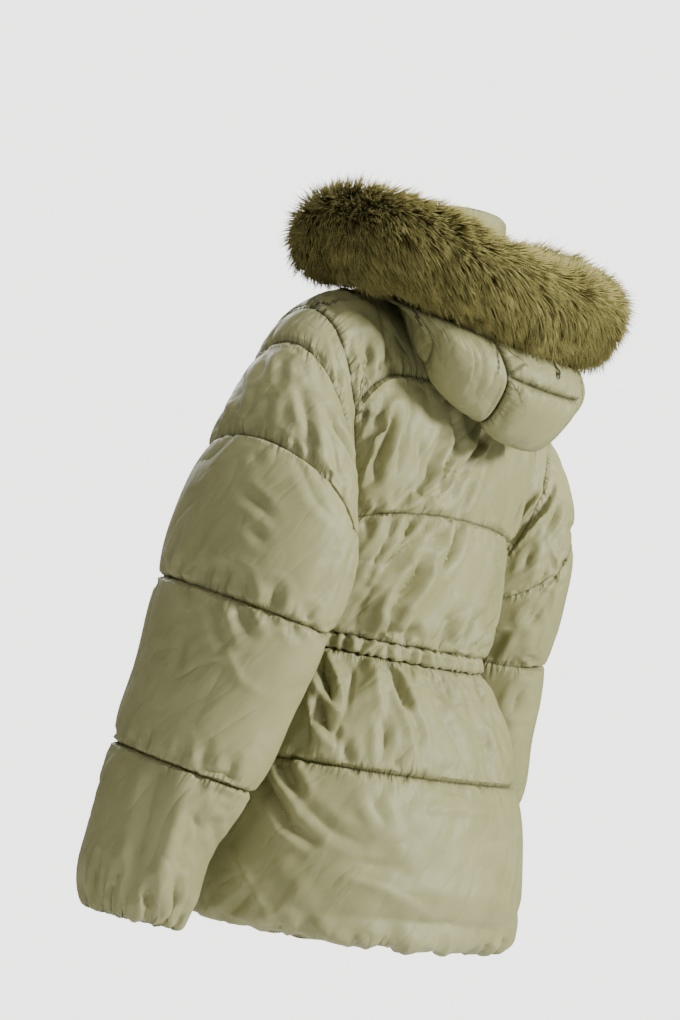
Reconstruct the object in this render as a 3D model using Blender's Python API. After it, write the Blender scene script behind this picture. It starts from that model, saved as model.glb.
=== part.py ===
"""Fur trimmed parka: an oversized quilted puffer jacket with a ruched drawcord waist, a
three-panel hood lying back on the shoulders and a thick fur roll along the hood's edge.

Frame, in metres: +X is the wearer's left, +Y the back, -Y the front, +Z up. The origin is
the middle of the neck opening, level with the back collar seam. The garment keeps the hollow
form it has when worn, upright, with the arms hanging.

Every cloth piece is a wall. Its plain inner side and its quilted outer side come from one
"seam surface" P(s, t), on which the sewing lines lie: the inner side is CLOTH inside it, and
the outer side stands off it by the padding, which falls to nothing at each sewing line.
"""
import math

import bmesh
import bpy
import numpy as np

# ---------------------------------------------------------------- driving sizes (metres)
SEAM = 0.00015            # each piece stops this short of a seam, so two pieces lie 0.3 mm apart
CLOTH = 0.003             # shell, flattened padding and lining at a sewing line
CF_HALF = 0.005           # the front edges stand this far from the centre line, for the zip

NECK_HALF = 0.078         # neck opening: half width, back reach, front reach, front drop
NECK_BACK = 0.090
NECK_FRONT = -0.068
NECK_DROP = 0.036
NECK_SIDE_Y = 0.012       # where the shoulder seam leaves the neck
SHOULDER_X = 0.224        # shoulder point, where the shoulder seam meets the sleeve
SHOULDER_Y = 0.010
SHOULDER_Z = -0.056
UNDERARM_X = 0.158        # underarm point, where the side seam meets the sleeve
UNDERARM_Z = -0.325
UNDERARM_T = 0.78         # the underarm's place down a bodice panel, 0 at the top, 1 at the waist
ARMHOLE_BACK = 0.070      # how far the armhole reaches behind and in front of its own middle
ARMHOLE_FRONT = 0.074

CASING_TOP = -0.414       # ruched waist casing
CASING_BOTTOM = -0.433
WAIST_HALF = 0.163        # half width, back reach and front reach of the cinched waist
WAIST_BACK = 0.131
WAIST_FRONT = -0.116
HEM_Z = -0.764
WAIST_TILT = 0.008        # the waist is this much lower at the back than at the sides

YOKE_T, CHEST_T = 0.27, 0.62          # sewing lines across the bodice
HIP_T = 0.38                          # sewing line across the skirt
PUFF_BODY, PUFF_SKIRT, PUFF_SLEEVE = 0.014, 0.014, 0.011
PUFF_HOOD, PUFF_COLLAR = 0.012, 0.007

TAPE_EDGE, TAPE_WIDTH, TAPE_THICK = 0.0015, 0.009, 0.001      # zip tape, from its inner edge
CHAIN_HALF, CHAIN_THICK = 0.003, 0.0022                       # closed zip teeth
ZIP_GAP = 0.0006
SLIDER_HALF, SLIDER_TALL, SLIDER_THICK = 0.0045, 0.012, 0.0022
SLIDER_Z = 0.026          # middle of the slider, just below the top of the collar
PIN_RADIUS, EYE_HOLE, EYE_RADIUS = 0.0008, 0.0012, 0.0028
TAB_LONG, TAB_HALF, TAB_THICK = 0.028, 0.0032, 0.0015
EYELET_RADIUS, EYELET_HOLE, EYELET_THICK = 0.0046, 0.0024, 0.0014
EYELET_SEAT = -0.0003     # the faceted cloth lies this far inside its smooth form, and a little more
CORD_RADIUS = 0.0012
HOOD_EYELET_S, HOOD_EYELET_T = 0.03, 0.885       # place of the eyelet on the hood's centre panel
HOOD_T_LENGTH = 0.20      # metres of cloth for one unit of t near the hood's edge

SHELL_COLOUR = (0.36, 0.355, 0.235)
FUR_COLOUR = (0.20, 0.19, 0.055)
TAPE_COLOUR = (0.25, 0.245, 0.15)
METAL_COLOUR = (0.20, 0.18, 0.15)
CORD_COLOUR = (0.10, 0.095, 0.05)


# ---------------------------------------------------------------- tables and curves
def table(names, rows):
    """A table as a dictionary of columns."""
    return dict(zip(names.split(), np.array(rows, float).T))


def along(tab, name, x):
    """Column `name` of a table at x, read from a smooth cubic; the first column is the key."""
    key = next(iter(tab.values()))
    val = tab[name]
    slope = np.gradient(val, key)
    x = np.clip(x, key[0], key[-1])
    i = np.clip(np.searchsorted(key, x, side="right") - 1, 0, len(key) - 2)
    h = key[i + 1] - key[i]
    u = (x - key[i]) / h
    return ((2 * u**3 - 3 * u**2 + 1) * val[i] + (u**3 - 2 * u**2 + u) * h * slope[i]
            + (3 * u**2 - 2 * u**3) * val[i + 1] + (u**3 - u**2) * h * slope[i + 1])


def ease(x):
    """Smooth step from 0 at x=0 to 1 at x=1."""
    x = np.clip(x, 0.0, 1.0)
    return x * x * (3 - 2 * x)


def swell(distance, reach):
    """Height of padding, 0 at a sewing line and 1 from `reach` away, round as a cushion."""
    x = np.clip(distance / reach, 0.0, 1.0)
    return np.sqrt(np.maximum(0.0, 1 - (1 - x)**2))


def points(x, y, z):
    return np.stack(np.broadcast_arrays(x, y, z), -1)


# ---------------------------------------------------------------- bodice
MIDDLE_BACK = table("t y z square", [
    (0.00, NECK_BACK, 0.000, 0.00),
    (0.12, 0.104, -0.048, 0.02),
    (YOKE_T, 0.113, -0.108, 0.03),
    (0.45, 0.119, -0.185, 0.05),
    (CHEST_T, 0.120, -0.262, 0.08),
    (UNDERARM_T, 0.118, -0.330, 0.09),
    (1.00, WAIST_BACK - 0.002, CASING_TOP, 0.04),
])
MIDDLE_FRONT = table("t y z square", [
    (0.00, NECK_FRONT, -NECK_DROP, 0.00),
    (0.12, -0.090, -0.078, 0.02),
    (YOKE_T, -0.110, -0.130, 0.03),
    (0.45, -0.124, -0.195, 0.05),
    (CHEST_T, -0.128, -0.265, 0.08),
    (UNDERARM_T, -0.124, -0.330, 0.09),
    (1.00, WAIST_FRONT + 0.001, CASING_TOP, 0.04),
])
NECK_SHARE = 0.42         # share of a panel's half width that lies on the neck edge


def armhole_reach(angle):
    """How far the armhole stands behind (+) or in front of its middle line, over sin(angle)."""
    return np.where(np.sin(angle) >= 0, ARMHOLE_BACK, ARMHOLE_FRONT)


def armhole(angle):
    """Left armhole seam. angle 0 is the shoulder point, pi/2 the back, pi the underarm."""
    drop = (1 - np.cos(angle)) / 2
    return points(SHOULDER_X + (UNDERARM_X - SHOULDER_X) * drop,
                  SHOULDER_Y * (1 - drop) + armhole_reach(angle) * np.sin(angle),
                  SHOULDER_Z + (UNDERARM_Z - SHOULDER_Z) * drop)


def armhole_outward(angle):
    """Direction in the armhole's own plane, square to its edge: both rims lie along it."""
    tall = np.array([SHOULDER_X - UNDERARM_X, SHOULDER_Y, SHOULDER_Z - UNDERARM_Z]) / 2
    half = np.linalg.norm(tall)
    along_tall = (np.cos(angle) * armhole_reach(angle))[..., None] * tall / half
    n = along_tall + points(0, half * np.sin(angle), 0)
    return n / np.linalg.norm(n, axis=-1, keepdims=True)


def bodice_edge(t, back):
    """Left edge of a bodice panel: down the armhole to the underarm, then the side seam."""
    angle = math.pi * np.clip(t / UNDERARM_T, 0, 1) * (1 if back else -1)
    upper = armhole(angle)
    f = np.clip((t - UNDERARM_T) / (1 - UNDERARM_T), 0, 1)
    side = points(UNDERARM_X + (WAIST_HALF - UNDERARM_X) * f, 0 * f,
                  UNDERARM_Z + (CASING_TOP - UNDERARM_Z) * f)
    return np.where((t <= UNDERARM_T)[..., None], upper, side)


def waist_tilt(turn, back=None):
    """How far the waist line stands above (+) or below its level at the side seams."""
    lean = -WAIST_TILT * np.cos(turn)
    return lean if back or back is None else -lean


def bodice_row(q, t, back):
    """A level line of the bodice, q from 0 at the middle to 1 at the left edge."""
    mid = MIDDLE_BACK if back else MIDDLE_FRONT
    edge = bodice_edge(t, back)
    widest = np.radians(62 + 28 * ease((t - 0.35) / (UNDERARM_T - 0.35)))
    turn = q * widest
    full = 1 + along(mid, "square", t) * np.sin(math.pi * q)**2
    x = edge[..., 0] * np.sin(turn) / np.sin(widest) * full
    share = (np.cos(turn) - np.cos(widest)) / (1 - np.cos(widest)) * full
    y = edge[..., 1] + (along(mid, "y", t) - edge[..., 1]) * share
    z_mid = along(mid, "z", t)
    tilt = waist_tilt(q * math.pi / 2, back) * ease((t - CHEST_T) / (1 - CHEST_T))
    return points(x, y, z_mid + (edge[..., 2] - z_mid) * q**2.2 + tilt)


def bodice_top(q, back):
    """Top edge of a bodice panel: half the neck opening, then the shoulder seam."""
    reach, drop = (NECK_BACK, 0.0) if back else (NECK_FRONT, NECK_DROP)
    side_y = NECK_SIDE_Y
    a = np.clip(q / NECK_SHARE, 0, 1) * math.pi / 2
    neck = points(NECK_HALF * np.sin(a), side_y + (reach - side_y) * np.cos(a), -drop * np.cos(a)**2)
    f = np.clip((q - NECK_SHARE) / (1 - NECK_SHARE), 0, 1)
    seam = points(NECK_HALF + (SHOULDER_X - NECK_HALF) * f, side_y + (SHOULDER_Y - side_y) * f,
                  SHOULDER_Z * f + 0.010 * np.sin(math.pi * f))
    return np.where((q <= NECK_SHARE)[..., None], neck, seam)


def bodice(s, t, back):
    """Seam surface of the bodice, s from -1 at the right edge to 1 at the left."""
    q = np.abs(s)
    fade = 1 - ease(t / (0.42 if back else 0.32))
    p = bodice_row(q, t, back) + (bodice_top(q, back) - bodice_row(q, 0 * t, back)) * fade[..., None]
    p = p - points(SEAM * ease((q - 0.9) / 0.1) * (t < UNDERARM_T), 0.0, 0.0)
    return p * points(np.sign(s + 1e-12), 1.0, 1.0)


# ---------------------------------------------------------------- waist casing and skirt
SKIRT = table("t half_x back_y front_y z", [
    (0.00, WAIST_HALF, WAIST_BACK, WAIST_FRONT, CASING_BOTTOM),
    (0.16, 0.180, 0.157, -0.140, -0.492),
    (HIP_T, 0.200, 0.192, -0.163, -0.570),
    (0.62, 0.211, 0.211, -0.174, -0.662),
    (0.82, 0.216, 0.216, -0.178, -0.730),
    (0.94, 0.212, 0.210, -0.174, HEM_Z),
    (1.00, 0.200, 0.198, -0.162, HEM_Z + 0.002),
])
SKIRT_SQUARE = 0.05
SIDE_SWING = math.radians(15)


def skirt(turn, t):
    """Seam surface of the skirt. turn 0 is the back, pi/2 the left, pi the front."""
    full = 1 + SKIRT_SQUARE * ease(t / 0.4) * np.sin(2 * turn)**2
    reach = np.where(np.cos(turn) >= 0, along(SKIRT, "back_y", t), -along(SKIRT, "front_y", t))
    tilt = waist_tilt(turn) * (1 - ease(t / HIP_T))
    return points(along(SKIRT, "half_x", t) * np.sin(turn) * full, reach * np.cos(turn) * full,
                  along(SKIRT, "z", t) + tilt)


def side_seam(t):
    """Where the skirt's side seam runs: it swings forward towards the hem."""
    return math.pi / 2 + SIDE_SWING * ease(t)


def casing(turn, t):
    """Seam surface of the waist casing. turn 0 is the back, pi/2 the left, pi the front."""
    reach = np.where(np.cos(turn) >= 0, WAIST_BACK - 0.001, -WAIST_FRONT)
    z = CASING_TOP + (CASING_BOTTOM - CASING_TOP) * t + waist_tilt(turn)
    return points(WAIST_HALF * np.sin(turn), reach * np.cos(turn), z)


# ---------------------------------------------------------------- sleeves
SLEEVE = table("v out_x out_z in_x in_z mid_y reach_y tilt swing", [
    (0.00, SHOULDER_X, SHOULDER_Z, UNDERARM_X, UNDERARM_Z, 0.003, 0.070, 0.00, 0.000),
    (0.10, 0.252, -0.099, 0.163, -0.331, 0.010, 0.077, 0.02, 0.000),
    (0.18, 0.279, -0.153, 0.169, -0.338, 0.018, 0.085, 0.05, 0.003),
    (0.28, 0.304, -0.216, 0.173, -0.347, 0.022, 0.098, 0.08, -0.006),
    (0.39, 0.325, -0.294, 0.180, -0.372, 0.022, 0.107, 0.12, -0.028),
    (0.50, 0.339, -0.394, 0.194, -0.414, 0.015, 0.106, 0.15, -0.038),
    (0.62, 0.345, -0.490, 0.216, -0.505, 0.005, 0.092, 0.15, -0.028),
    (0.76, 0.359, -0.588, 0.240, -0.602, -0.009, 0.087, 0.15, -0.020),
    (0.86, 0.364, -0.668, 0.256, -0.678, -0.026, 0.069, 0.12, -0.016),
    (0.94, 0.364, -0.735, 0.264, -0.742, -0.034, 0.063, 0.08, -0.014),
    (0.98, 0.356, -0.770, 0.273, -0.774, -0.036, 0.052, 0.05, -0.014),
    (1.00, 0.348, -0.768, 0.281, -0.772, -0.036, 0.043, 0.05, -0.014),
])
CAP_V, UPPER_V, ELBOW_V, LOWER_V = 0.10, 0.28, 0.50, 0.76      # sewing lines round the sleeve


def sleeve(turn, v, right):
    """Seam surface of a sleeve. turn 0 is the outer side, pi/2 the back, pi the inner side."""
    out_x, out_z, in_x, in_z = (along(SLEEVE, c, v) for c in ("out_x", "out_z", "in_x", "in_z"))
    blend = ease(v / CAP_V)
    share = np.cos(turn)
    reach = armhole_reach(turn) * (1 - blend) + along(SLEEVE, "reach_y", v) * blend
    mid_y = (SHOULDER_Y * (1 + share) / 2 * (1 - blend) + along(SLEEVE, "mid_y", v) * blend
             + (along(SLEEVE, "swing", v) if right else 0.0))
    x = (out_x + in_x) / 2 + (out_x - in_x) / 2 * share + SEAM * (1 - ease(v / 0.05))
    z = (out_z + in_z) / 2 + (out_z - in_z) / 2 * share - along(SLEEVE, "tilt", v) * reach * np.sin(turn)
    return points(-x if right else x, mid_y + reach * np.sin(turn), z)


# ---------------------------------------------------------------- collar
COLLAR = table("t half_x back_y front_y rise", [
    (0.0, NECK_HALF, NECK_BACK, NECK_FRONT, 0.000),
    (0.5, 0.075, 0.088, -0.067, 0.055),
    (1.0, 0.074, 0.092, -0.066, 0.108),
])
COLLAR_FRONT_SHARE = 0.70       # the collar is lower in front by this share


def collar(turn, t):
    """Seam surface of the stand collar. turn 0 is the back, pi/2 the left, pi the front."""
    mid = NECK_SIDE_Y
    reach = np.where(np.cos(turn) >= 0, along(COLLAR, "back_y", t) - mid, mid - along(COLLAR, "front_y", t))
    front = ease(0.5 - np.cos(turn) / 2)
    foot = -NECK_DROP * np.where(np.cos(turn) < 0, np.cos(turn)**2, 0)
    z = foot + along(COLLAR, "rise", t) * (1 - (1 - COLLAR_FRONT_SHARE) * front)
    return points(along(COLLAR, "half_x", t) * np.sin(turn), mid + reach * np.cos(turn), z)


# ---------------------------------------------------------------- hood and fur
FUR = table("s x y z radius", [
    (0.00, 0.000, 0.206, -0.004, 0.056),
    (0.25, 0.083, 0.186, 0.002, 0.057),
    (0.50, 0.147, 0.117, 0.026, 0.061),
    (0.75, 0.159, 0.025, 0.044, 0.062),
    (0.90, 0.136, -0.042, 0.044, 0.054),
    (1.00, 0.094, -0.084, 0.040, 0.036),
])
HOOD_NECK = table("s turn", [          # place of the hood's neck edge round the collar, in degrees
    (0.00, 0), (0.25, 34), (0.50, 67), (0.75, 89), (1.00, 134),
])
HOOD_NECK_T = 0.07                     # and up the collar
HOOD_UNDER = table("s x y z", [
    (0.00, 0.000, 0.137, -0.075),
    (0.25, 0.064, 0.125, -0.068),
    (0.50, 0.103, 0.076, -0.026),
    (0.75, 0.094, -0.002, 0.008),
    (1.00, 0.069, -0.055, 0.002),
])
HOOD_FOLD = table("s x y z", [
    (0.00, 0.000, 0.174, -0.160),
    (0.25, 0.060, 0.158, -0.146),
    (0.50, 0.119, 0.108, -0.094),
    (0.75, 0.100, 0.000, 0.007),
    (1.00, 0.072, -0.058, 0.006),
])
HOOD_OUTER = table("s x y z", [
    (0.00, 0.000, 0.214, -0.110),
    (0.25, 0.076, 0.197, -0.102),
    (0.50, 0.141, 0.131, -0.070),
    (0.75, 0.106, 0.002, 0.006),
    (1.00, 0.074, -0.060, 0.010),
])
FUR_SEAT = table("s angle", [          # where the hood's edge meets the roll, in degrees
    (0.00, -90), (0.25, -89), (0.50, -90), (0.75, -130), (1.00, -178),
])
FUR_CLEARANCE = 0.0015    # cloth keeps this far off the roll
GUSSET_S = 0.25                        # the centre panel reaches this far to each side
HOOD_QUILT_S = 0.50
HOOD_EVEN = 0.05          # reach over which the hood's normals are evened out


def rail(tab, s):
    """A line along the hood, symmetric about the middle, at s from -1 (right) to 1 (left)."""
    q, side = np.abs(s), np.sign(s + 1e-12)
    both = {}
    for name, column in tab.items():
        mirror = -1 if name in ("x", "s") else 1
        both[name] = np.concatenate([mirror * column[:0:-1], column])
    return points(*(along(both, name, q) for name in ("x", "y", "z"))) * points(side, 1.0, 1.0)


def fur_frame(s):
    """Centre of the fur roll at s, and the outward and upward directions of its section."""
    s = np.clip(s, -1, 1)
    centre = rail(FUR, s)
    ahead = rail(FUR, np.clip(s + 0.01, -1, 1)) - rail(FUR, np.clip(s - 0.01, -1, 1))
    ahead = ahead / np.linalg.norm(ahead, axis=-1, keepdims=True)
    up = np.array([0.0, 0.0, 1.0])
    out = np.cross(ahead, up)
    out = out / np.linalg.norm(out, axis=-1, keepdims=True)
    centre_to = centre - np.array([0.0, 0.05, 0.0])
    out = out * np.sign((out * centre_to).sum(-1, keepdims=True))
    return centre, out, np.cross(out, ahead) * np.sign(np.cross(out, ahead)[..., 2:3])


def fur_radius(s):
    return along(FUR, "radius", np.abs(s))


def fur_depth(p):
    """How far inside the fur roll each point lies, and the direction out of the roll there."""
    places = np.linspace(-1, 1, 161)
    away = p[..., None, :] - fur_frame(places)[0]
    far = np.linalg.norm(away, axis=-1)
    nearest = np.argmin(far - fur_radius(places), -1)[..., None]
    distance = np.take_along_axis(far, nearest, -1)
    way_out = np.take_along_axis(away, nearest[..., None], -2)[..., 0, :] / distance
    return fur_radius(places)[nearest[..., 0]] - distance[..., 0], way_out


def off_the_fur(inner, outer):
    """Moves a wall that comes nearer to the fur roll than the clearance out to the clearance."""
    pushes = []
    for side in (inner, outer):
        depth, way_out = fur_depth(side)
        pushes.append(way_out * np.maximum(depth + FUR_CLEARANCE, 0.0)[..., None])
    longer = np.linalg.norm(pushes[0], axis=-1) > np.linalg.norm(pushes[1], axis=-1)
    push = np.where(longer[..., None], *pushes)
    return inner + push, outer + push


def press_under_fur(base, n, pad):
    """Padding gives way where it would reach into the fur roll."""
    for _ in range(10):
        depth, _ = fur_depth(base + n * pad[..., None])
        pad = np.maximum(pad - np.maximum(depth + FUR_CLEARANCE, 0.0), 0.0)
    return pad


def hood_edge(s):
    """The hood's face edge, seated on the outside of the fur roll."""
    centre, out, up = fur_frame(s)
    a = np.radians(along(FUR_SEAT, "angle", np.abs(s)))[..., None]
    return centre + (fur_radius(s)[..., None] + FUR_CLEARANCE) * (np.cos(a) * out + np.sin(a) * up)


def hood_neck(s):
    """The hood's neck edge, sewn on just outside the foot of the collar."""
    turn = np.sign(s) * np.radians(along(HOOD_NECK, "turn", np.abs(s)))
    away = 3 * SEAM + CLOTH * ease((np.abs(s) - 0.62) / 0.25)
    return (collar(turn, np.full_like(turn, HOOD_NECK_T))
            + points(np.sin(turn), np.cos(turn), 0.0) * away[..., None])


def hood(s, t):
    """Seam surface of the hood, t from 0 at the neck to 1 at the face edge.

    At the back it hangs in a deep fold; towards its two front ends it runs straight across."""
    rails = [hood_neck(s), rail(HOOD_UNDER, s), rail(HOOD_FOLD, s), rail(HOOD_OUTER, s), hood_edge(s)]
    key = np.linspace(0, 1, len(rails))
    stack = np.stack(rails)
    slope = np.gradient(stack, key, axis=0)
    i = np.clip((t * (len(rails) - 1)).astype(int), 0, len(rails) - 2)
    h = key[1]
    u = ((t - key[i]) / h)[..., None]

    def pick(a, k):
        return np.take_along_axis(a, k[None, ..., None], 0)[0]
    hung = ((2 * u**3 - 3 * u**2 + 1) * pick(stack, i) + (u**3 - 2 * u**2 + u) * h * pick(slope, i)
            + (3 * u**2 - 2 * u**3) * pick(stack, i + 1) + (u**3 - u**2) * h * pick(slope, i + 1))
    straight = rails[0] + (rails[-1] - rails[0]) * t[..., None]
    return hung + (straight - hung) * ease((np.abs(s) - 0.48) / 0.20)[..., None]


# ---------------------------------------------------------------- walls
def normals(surface, a, b, outward, d=1e-3):
    """Unit normals of a surface, turned to the side that `outward` points to.

    A larger d takes them from points further apart, which evens them out."""
    da = surface(a + d, b) - surface(a - d, b)
    db = surface(a, np.clip(b + d, 0, 1)) - surface(a, np.clip(b - d, 0, 1))
    n = np.cross(da, db)
    n = n / np.maximum(np.linalg.norm(n, axis=-1, keepdims=True), 1e-12)
    return n * outward


def lean(n, direction, share):
    """Turns normals towards a seam's own direction, so that two rims meet in one plane."""
    share = share[..., None]
    n = n * (1 - share) + direction * share
    return n / np.linalg.norm(n, axis=-1, keepdims=True)


def steps(lines, shares):
    """Row places between sewing lines: each band is cut at the given shares of its width."""
    rows = [lines[0]]
    for low, high in zip(lines[:-1], lines[1:]):
        rows += [low + (high - low) * f for f in shares] + [high]
    return np.array(rows)


BAND = (0.10, 0.30, 0.60, 0.88)          # rows in a quilted band, close together at its edges
NECK_COLUMNS, SHOULDER_COLUMNS = 5, 7    # columns of half a bodice panel


def piece(name, colour, roughness, metallic=0.0):
    """An empty mesh object with its own material."""
    mesh = bpy.data.meshes.new(name)
    obj = bpy.data.objects.new(name, mesh)
    bpy.context.scene.collection.objects.link(obj)
    material = bpy.data.materials.new(name)
    material.use_nodes = True
    shader = material.node_tree.nodes["Principled BSDF"]
    shader.inputs["Base Color"].default_value = (*colour, 1.0)
    shader.inputs["Roughness"].default_value = roughness
    shader.inputs["Metallic"].default_value = metallic
    mesh.materials.append(material)
    return obj


def fill(obj, verts, faces, sharp_degrees=60):
    """Gives an object its mesh, with the faces pointing out and smooth shading."""
    mesh = obj.data
    mesh.from_pydata([tuple(map(float, v)) for v in verts], [], faces)
    bm = bmesh.new()
    bm.from_mesh(mesh)
    bmesh.ops.triangulate(bm, faces=bm.faces[:])
    bmesh.ops.recalc_face_normals(bm, faces=bm.faces[:])
    if bm.calc_volume(signed=True) < 0:
        bmesh.ops.reverse_faces(bm, faces=bm.faces[:])
    bm.to_mesh(mesh)
    bm.free()
    mesh.shade_smooth()
    mesh.set_sharp_from_angle(angle=math.radians(sharp_degrees))
    return obj


def wall(name, inner, outer, ring=False, colour=SHELL_COLOUR, roughness=0.38):
    """A closed wall between two grids of points. ring joins the last column to the first."""
    rows, cols = inner.shape[:2]
    count = rows * cols
    verts = np.concatenate([outer.reshape(-1, 3), inner.reshape(-1, 3)])
    faces = []
    last = cols if ring else cols - 1

    def at(i, j):
        return i * cols + j % cols
    for i in range(rows - 1):
        for j in range(last):
            a, b, c, d = at(i, j), at(i, j + 1), at(i + 1, j + 1), at(i + 1, j)
            faces.append((a, b, c, d))
            faces.append((d + count, c + count, b + count, a + count))
    for j in range(last):
        a, b = at(0, j), at(0, j + 1)
        faces.append((b, a, a + count, b + count))
        a, b = at(rows - 1, j), at(rows - 1, j + 1)
        faces.append((a, b, b + count, a + count))
    if not ring:
        for i in range(rows - 1):
            a, b = at(i, 0), at(i + 1, 0)
            faces.append((a, b, b + count, a + count))
            a, b = at(i, cols - 1), at(i + 1, cols - 1)
            faces.append((b, a, a + count, b + count))
    return fill(piece(name, colour, roughness), verts, faces)


def fold_height(folds, s, t):
    """Sum of the soft ridges (+) and troughs (-) in a table of folds.

    Each row is a straight line from (s0, t0) to (s1, t1), its half width in s and its height."""
    total = np.zeros(np.broadcast(s, t).shape)
    for k in range(len(folds["s0"])):
        s0, t0, s1, t1, width, height = (folds[c][k] for c in ("s0", "t0", "s1", "t1", "width", "height"))
        run, rise = s1 - s0, t1 - t0
        f = np.clip(((s - s0) * run + (t - t0) * rise) / (run**2 + rise**2), 0, 1)
        away = np.hypot(s - s0 - run * f, t - t0 - rise * f)
        total += height * (1 - ease(away / width)) * np.sin(math.pi * (0.15 + 0.7 * f))
    return total


def gathers(s, count, seed):
    """Uneven waves across a gathered edge, from -1 to 1."""
    shift = 0.6 * np.sin(2.3 * s + seed) + 0.4 * np.sin(5.1 * s + 2 * seed)
    return np.sin(count * math.pi * s + 2.2 * shift)


FOLDS_BACK = table("s0 t0 s1 t1 width height", [
    (0.42, 0.98, 0.05, 0.66, 0.07, 0.007),
    (0.60, 0.95, 0.40, 0.66, 0.06, 0.006),
    (-0.05, 0.97, -0.30, 0.66, 0.07, 0.006),
    (0.30, 0.60, 0.02, 0.32, 0.07, 0.007),
    (0.52, 0.42, 0.38, 0.60, 0.05, -0.005),
    (-0.32, 0.60, -0.10, 0.30, 0.07, 0.006),
    (0.70, 0.24, 0.60, 0.10, 0.06, -0.005),
    (-0.66, 0.60, -0.50, 0.30, 0.07, 0.005),
])
FOLDS_FRONT = table("s0 t0 s1 t1 width height", [
    (0.30, 0.97, 0.50, 0.66, 0.08, 0.006),
    (0.62, 0.60, 0.45, 0.32, 0.08, 0.006),
    (0.70, 0.95, 0.80, 0.66, 0.07, 0.005),
])


def bodice_padding(s, t, back):
    """Height of the bodice's padding above the seam surface."""
    lines = (0.0, YOKE_T, CHEST_T, 1.0)
    length = 0.41
    pad = np.full(np.broadcast(s, t).shape, PUFF_BODY)
    for low, high in zip(lines[:-1], lines[1:]):
        half = (high - low) * length / 2
        inside = (t >= low) & (t <= high)
        from_line = np.minimum(t - low, high - t) * length
        pad = np.where(inside, pad * swell(from_line, half), pad)
    pad = pad * swell((1 - np.abs(s)) * 0.22, 0.05)
    arm_side = ease((t - 0.38) / 0.2) * ease((np.abs(s) - 0.60) / 0.30)
    pad = pad * (1 - 0.85 * arm_side)
    under_hood = (1 - ease((np.abs(s) - 0.45) / 0.3)) * (1 - ease((t - 0.20) / 0.15))
    pad = pad * (1 - 0.55 * under_hood * (1 if back else 0))
    folds, across = (FOLDS_BACK, s) if back else (FOLDS_FRONT, np.abs(s))
    pad = pad + fold_height(folds, across, t) * swell(pad, PUFF_BODY)
    waist = ease((t - 0.80) / 0.17) * (1 - ease((t - 0.97) / 0.03))
    return np.maximum(pad + 0.004 * gathers(s, 9, 0.4) * waist, 0.0)


def half_columns(first):
    """Columns from the middle to the side, with one where the neck meets the shoulder seam."""
    low = np.stack([first + (NECK_SHARE - first) * k / NECK_COLUMNS for k in range(NECK_COLUMNS)], -1)
    high = np.linspace(NECK_SHARE, 1 - SEAM / 0.20, SHOULDER_COLUMNS + 1)
    return np.concatenate([low, np.broadcast_to(high, (len(first), len(high)))], 1)


def bodice_panel(name, side):
    """side 0 is the back panel, 1 the left front and -1 the right front."""
    back = side == 0
    rows = steps((0.0, YOKE_T, CHEST_T, 1.0), BAND)
    rows[0] += SEAM / 0.11
    rows[-1] -= SEAM / 0.41
    if back:
        half = half_columns(0 * rows)
        s = np.concatenate([-half[:, :0:-1], half], 1)
    else:
        widening = bodice(np.full(len(rows), 1e-3), rows, False)[:, 0] / 1e-3
        half = half_columns(CF_HALF / widening)
        s = half if side > 0 else -half[:, ::-1]
    t = np.broadcast_to(rows[:, None], s.shape)
    base = bodice(s, t, back)
    n = normals(lambda a, b: bodice(a, b, back), s, t, 1 if back else -1)
    q = np.abs(s)
    n = lean(n, np.array([0.0, 0.0, 1.0]), (1 - ease(t / 0.05)) * ease((q - NECK_SHARE + 0.20) / 0.12))
    angle = math.pi * np.clip(t / UNDERARM_T, 0, 1) * (1 if back else -1)
    mitre = (1 - ease((1 - q) / 0.10)) * ease((np.cos(angle) + 0.9) / 0.6) * (t < UNDERARM_T)
    n = lean(n, armhole_outward(angle) * points(np.sign(s + 1e-12), 1.0, 1.0), mitre)
    pad = press_under_fur(base, n, bodice_padding(s, t, back))
    wall(name, base - n * CLOTH, base + n * pad[..., None])
    return base - n * CLOTH


def build_bodice():
    """Builds the three panels; returns the inner points of the left front."""
    bodice_panel("back_bodice", 0)
    bodice_panel("right_front_bodice", -1)
    return bodice_panel("left_front_bodice", 1)


def build_casing():
    """The ruched waist casing: one strip from zip to zip round the back.

    Returns its inner points, from the left front edge on."""
    columns, rows = 54, 2
    end = math.pi - CF_HALF / WAIST_HALF
    margin = SEAM * 2 / (CASING_TOP - CASING_BOTTOM)
    turn, t = np.meshgrid(np.linspace(-end, end, columns + 1), np.linspace(margin, 1 - margin, rows + 1))
    base = casing(turn, t)
    flat = points(np.sin(turn), np.cos(turn), 0.0)
    ruche = 0.0030 + 0.0028 * gathers(turn / math.pi, 13, 1.1) * np.sin(math.pi * t)
    wall("waist_casing", base - flat * CLOTH, base + flat * (ruche * np.sin(math.pi * t))[..., None])
    return (base - flat * CLOTH)[:, ::-1]


FOLDS_SKIRT = table("s0 t0 s1 t1 width height", [
    (0.46, 0.04, 0.30, 0.34, 0.06, 0.007),
    (0.22, 0.03, 0.02, 0.30, 0.07, 0.006),
    (-0.06, 0.03, -0.20, 0.30, 0.06, 0.006),
    (-0.34, 0.03, -0.48, 0.32, 0.06, 0.006),
    (0.64, 0.05, 0.66, 0.34, 0.06, 0.006),
    (0.52, 0.44, 0.28, 0.66, 0.06, 0.004),
    (0.02, 0.62, -0.48, 0.86, 0.06, -0.004),
    (0.66, 0.70, 0.44, 0.95, 0.05, 0.004),
])


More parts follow.
